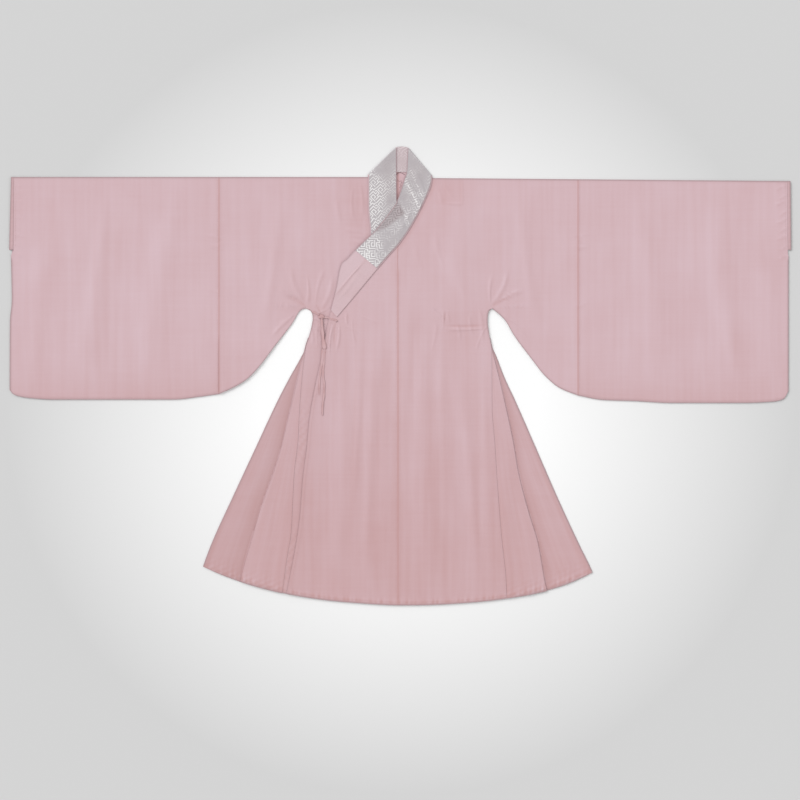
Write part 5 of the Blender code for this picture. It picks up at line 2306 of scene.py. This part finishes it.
def stitch_lines() -> list[StitchLine]:
    """Lay out every line of visible stitches by the seams and hems."""
    hem_u = np.arange(-536.0, 524.0, 9.0)
    front_v = np.arange(388.0, 1080.0, 12.0)
    centre_v = np.arange(252.0, 1145.0, 14.0)
    seam_v = np.arange(9.0, 575.0, 14.0)
    over = np.array(CollarPath().over)
    inner, outer = over[2:, :2], over[:, 2:]
    ruling = (over[:, 2:] - over[:, :2]) / np.hypot(*(over[:, 2:] - over[:, :2]).T)[:, None]
    lines = [
        StitchLine("hem_stitches", (np.stack([hem_u, PLAN.hem(hem_u) - 9.0], 1),)),
        StitchLine(
            "front_stitches",
            (
                np.stack([7.5 - PLAN.lapel_edge(front_v), front_v], 1),
                np.stack([np.full(len(centre_v), CENTRE_U - 4.0), centre_v], 1),
            ),
        ),
        StitchLine(
            "collar_stitches",
            (outer[1:] - 5.5 * ruling[1:], inner + 2.6 * ruling[2:]),
            pitch=4.0, length=2.5, radius=0.25,
        ),
        StitchLine(
            "neck_stitches",
            (
                np.array([(-6.0, 9.0), (-2.0, 13.0), (2.0, 10.0), (4.0, 15.0), (0.0, 20.0),
                          (3.0, 24.0), (-1.0, 28.0)]),
                np.array([(-171.0, 387.0), (-168.0, 391.0), (-172.0, 392.0)]),
            ),
            pitch=3.6, length=2.2, radius=0.7, dark=True,
        ),
        StitchLine(
            "neck_seam",
            (np.array([(-10.0, -7.0), (-5.0, -10.5), (0.0, -11.5), (6.0, -10.0), (12.0, -6.0)]),),
            pitch=2.0, length=2.4, radius=0.7, dark=True,
        ),
    ]
    sides = []
    for side in Side:
        seam = PLAN.sleeve_seam(side)
        out = np.arange(seam + 12.0, 1030.0, 14.0)
        sides.append(np.stack([np.full(len(seam_v), side.sign * (seam + 4.0)), seam_v], 1))
        sides.append(np.stack([side.sign * out, PLAN.sleeve_bottoms[side](out) - 6.0], 1))
        cuff_v = np.arange(16.0, 190.0, 10.0)
        sides.append(np.stack([side.sign * (PLAN.sleeve_ends[side](cuff_v) - 5.0), cuff_v], 1))
    return [*lines, StitchLine("sleeve_stitches", tuple(sides))]


@dataclass
class Studio:
    """The pale floor, the soft lights and the camera straight above.

    Attributes:
        middle: Where the camera looks, in metres.
        span: How much floor the square picture shows, in metres.
        camera_height: The camera's height in metres.
    """

    middle: tuple[float, float] = (-0.0005, -0.0641)
    span: float = 2.16
    camera_height: float = 6.0

    def build(self) -> None:
        """Make the floor, the lights and the camera."""
        middle_x, middle_y = self.middle
        self.floor(middle_x, middle_y)
        self.lights()
        data = bpy.data.cameras.new("camera")
        camera = placed("camera", data)
        camera.location = (middle_x, middle_y, self.camera_height)
        data.sensor_width = 36.0
        data.lens = 36.0 * self.camera_height / self.span
        data.clip_end = 50.0
        bpy.context.scene.camera = camera
        scene = bpy.context.scene
        scene.view_settings.view_transform = "Standard"
        scene.view_settings.look = "None"

    def floor(self, x: float, y: float) -> None:
        """Lay the floor just under the robe."""
        mesh = bpy.data.meshes.new("floor")
        reach = 6.0
        corners = [(-reach, -reach), (reach, -reach), (reach, reach), (-reach, reach)]
        mesh.from_pydata([(cx + x, cy + y, -0.0004) for cx, cy in corners], [], [(0, 1, 2, 3)])
        mesh.update()
        floor = placed("floor", mesh)
        finish = StudioFloor(
            "floor_paper", seen(255, 255, 255), seen(212, 212, 212), (x, y), (0.378, 1.069)
        )
        dress(floor, finish.build())

    def lights(self) -> None:
        """Light the robe evenly from two far soft lights and from the room."""
        rows = (
            ("key_light", (-1.0, 0.8, 1.1), 1.75, 42.0),
            ("fill_light", (0.9, -0.7, 1.5), 0.55, 60.0),
        )
        for name, towards, strength, spread_degrees in rows:
            data = bpy.data.lights.new(name, "SUN")
            data.energy = strength
            data.angle = math.radians(spread_degrees)
            light = placed(name, data)
            light.rotation_mode = "QUATERNION"
            light.rotation_quaternion = Vector(towards).to_track_quat("Z", "Y")
        world = bpy.data.worlds.new("room")
        bpy.context.scene.world = world
        world.use_nodes = True
        background = world.node_tree.nodes["Background"]
        background.inputs["Color"].default_value = (1.0, 1.0, 1.0, 1.0)
        background.inputs["Strength"].default_value = 0.6


@dataclass(frozen=True)
class SheetFacts:
    """What a piece of cloth is cut to and what it stands for."""

    nodes: tuple[str, ...]
    flat: tuple[float, float]
    area: float | None
    rests_on: tuple[str, ...]
    slot: str = "sheer_cloth"
    held: str = "laid"


def declare(piece: bpy.types.Object, facts: SheetFacts, with_pieces: Sequence[object] = ()) -> None:
    """Put a piece on the robe's one body, in place of its solids, and log its flat size and area.
    """
    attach(piece, "root")
    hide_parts(*facts.nodes)
    LOG.info("%s %s m, %.5f m2", piece.name, facts.flat, face_area(piece))


def face_area(piece: bpy.types.Object) -> float:
    """Give half the area of a closed piece, which is that of its cloth."""
    return sum(polygon.area for polygon in piece.data.polygons) / 2.0


def build_robe() -> None:
    """Build every piece of the robe and put it in place of its solids, in the order that it is
    sewn.
    """
    finishes = Finishes()
    cloths: list[bpy.types.Object] = []
    for side in Side:
        name = side.value
        body = BodyHalf(side, finishes).build()
        declare(body, SheetFacts((f"body_{name}",), (0.49, 2.34), 0.83, ()))
        sleeve = Sleeve(side, finishes).build()
        declare(sleeve, SheetFacts((f"sleeve_{name}",), (0.57, 1.21), 0.675, ()))
        facing = CuffFacing(side, finishes).build()
        declare(facing, SheetFacts((f"cuff_{name}",), (0.012, 0.4), None, (sleeve.name,)))
        gore = SideGore(side, finishes).build()
        declare(gore, SheetFacts((f"gore_{name}",), (0.78, 0.66), 0.245, (), held="folded"))
        cloths += [body, sleeve, facing, gore]
    outer = Lapel(True, finishes).build()
    inner = Lapel(False, finishes).build()
    declare(outer, SheetFacts(("lapel_outer",), (0.32, 0.98), 0.209, ("right_body_cloth",)))
    declare(inner, SheetFacts(("lapel_inner",), (0.27, 0.93), 0.195, ("left_body_cloth",)))
    band = Collar(CollarPart.BAND, finishes).build()
    guard = Collar(CollarPart.GUARD, finishes).build()
    declare(
        band,
        SheetFacts(("collar",), (0.078, 1.16), 0.077, ("left_body_cloth",), "band_cloth", "folded"),
    )
    declare(
        guard,
        SheetFacts(("guard_collar",), (0.078, 0.80), 0.056, (band.name,), "brocade", "folded"),
    )
    sew(finishes, [*cloths, outer, inner, band, guard])
    build_ties(finishes)


def sew(finishes: Finishes, cloths: Sequence[bpy.types.Object]) -> None:
    """Sew the visible stitches on the finished cloth."""
    top = ClothTop(cloths)
    for line in stitch_lines():
        piece = line.build(top, finishes.dark_thread if line.dark else finishes.thread)
        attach(piece, "root")
        LOG.info("%s %d faces", piece.name, len(piece.data.polygons))


TIE_CUT = 0.012


def build_ties(finishes: Finishes) -> None:
    """Build the bow at the waist: two straps, the knot, a loop and two free ends."""
    knot = BowKnot(finishes).build()
    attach(knot, "root")
    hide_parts("tie_knot")
    LOG.info("%s %d faces", knot.name, len(knot.data.polygons))
    rows = (
        ("tie_side_strap", "tie_side", (0.5, 1.0),
         ((-238, 363.5, 3.6, 4.2), (-230, 366.5, 4.5, 4.0), (-219, 372.5, 5.8, 3.8))),
        ("tie_lapel_strap", "tie_lapel", (0.3, -1.0),
         ((-169, 388.5, 5.9, 4.2), (-182, 384.5, 5.9, 4.0), (-192, 381, 5.9, 3.9),
          (-204, 378.5, 6.0, 3.8))),
        ("tie_loop_ribbon", "tie_loop", (1.0, 0.0),
         ((-212, 380, 5.6, 3.8), (-210.5, 410, 5.8, 4.0), (-207.5, 440, 6.2, 6.4),
          (-204.5, 461, 6.5, 11.0), (-204.3, 463.5, 7.0, 11.0), (-204.5, 461, 7.5, 11.0),
          (-207.5, 440, 7.2, 8.4), (-210, 410, 6.9, 6.0), (-212, 380, 6.7, 4.4))),
        ("tie_tail_ribbon", "tie_tail_long", (1.0, 0.0),
         ((-203, 464, 6.1, 4.8), (-206, 500, 6.4, 5.0), (-208, 535, 6.6, 4.6),
          (-205, 556, 6.7, 4.4), (-206, 590, 6.7, 4.8), (-209, 615, 6.8, 4.4),
          (-210, 643, 6.8, 4.0))),
        ("tie_short_end_ribbon", "tie_tail_short", (1.0, 0.0),
         ((-210, 464, 6.1, 4.2), (-213, 508, 6.6, 4.2), (-217.5, 548, 6.8, 4.4),
          (-219, 588, 6.8, 4.2))),
    )
    for name, node, across, route in rows:
        tie = TieRibbon(name, route, across, finishes)
        piece = tie.build()
        length = tie.length() * MM
        facts = SheetFacts(
            (node,), (TIE_CUT, length), face_area(piece), ("right_body_cloth",), "tie_cloth"
        )
        declare(piece, facts, [knot] if name == "tie_side_strap" else [])


def main() -> None:
    """Build the robe and its studio, and note the sizes."""
    logging.basicConfig(level=logging.INFO, format="%(message)s")
    build_robe()
    Studio().build()


if __name__ == "__main__":
    main()
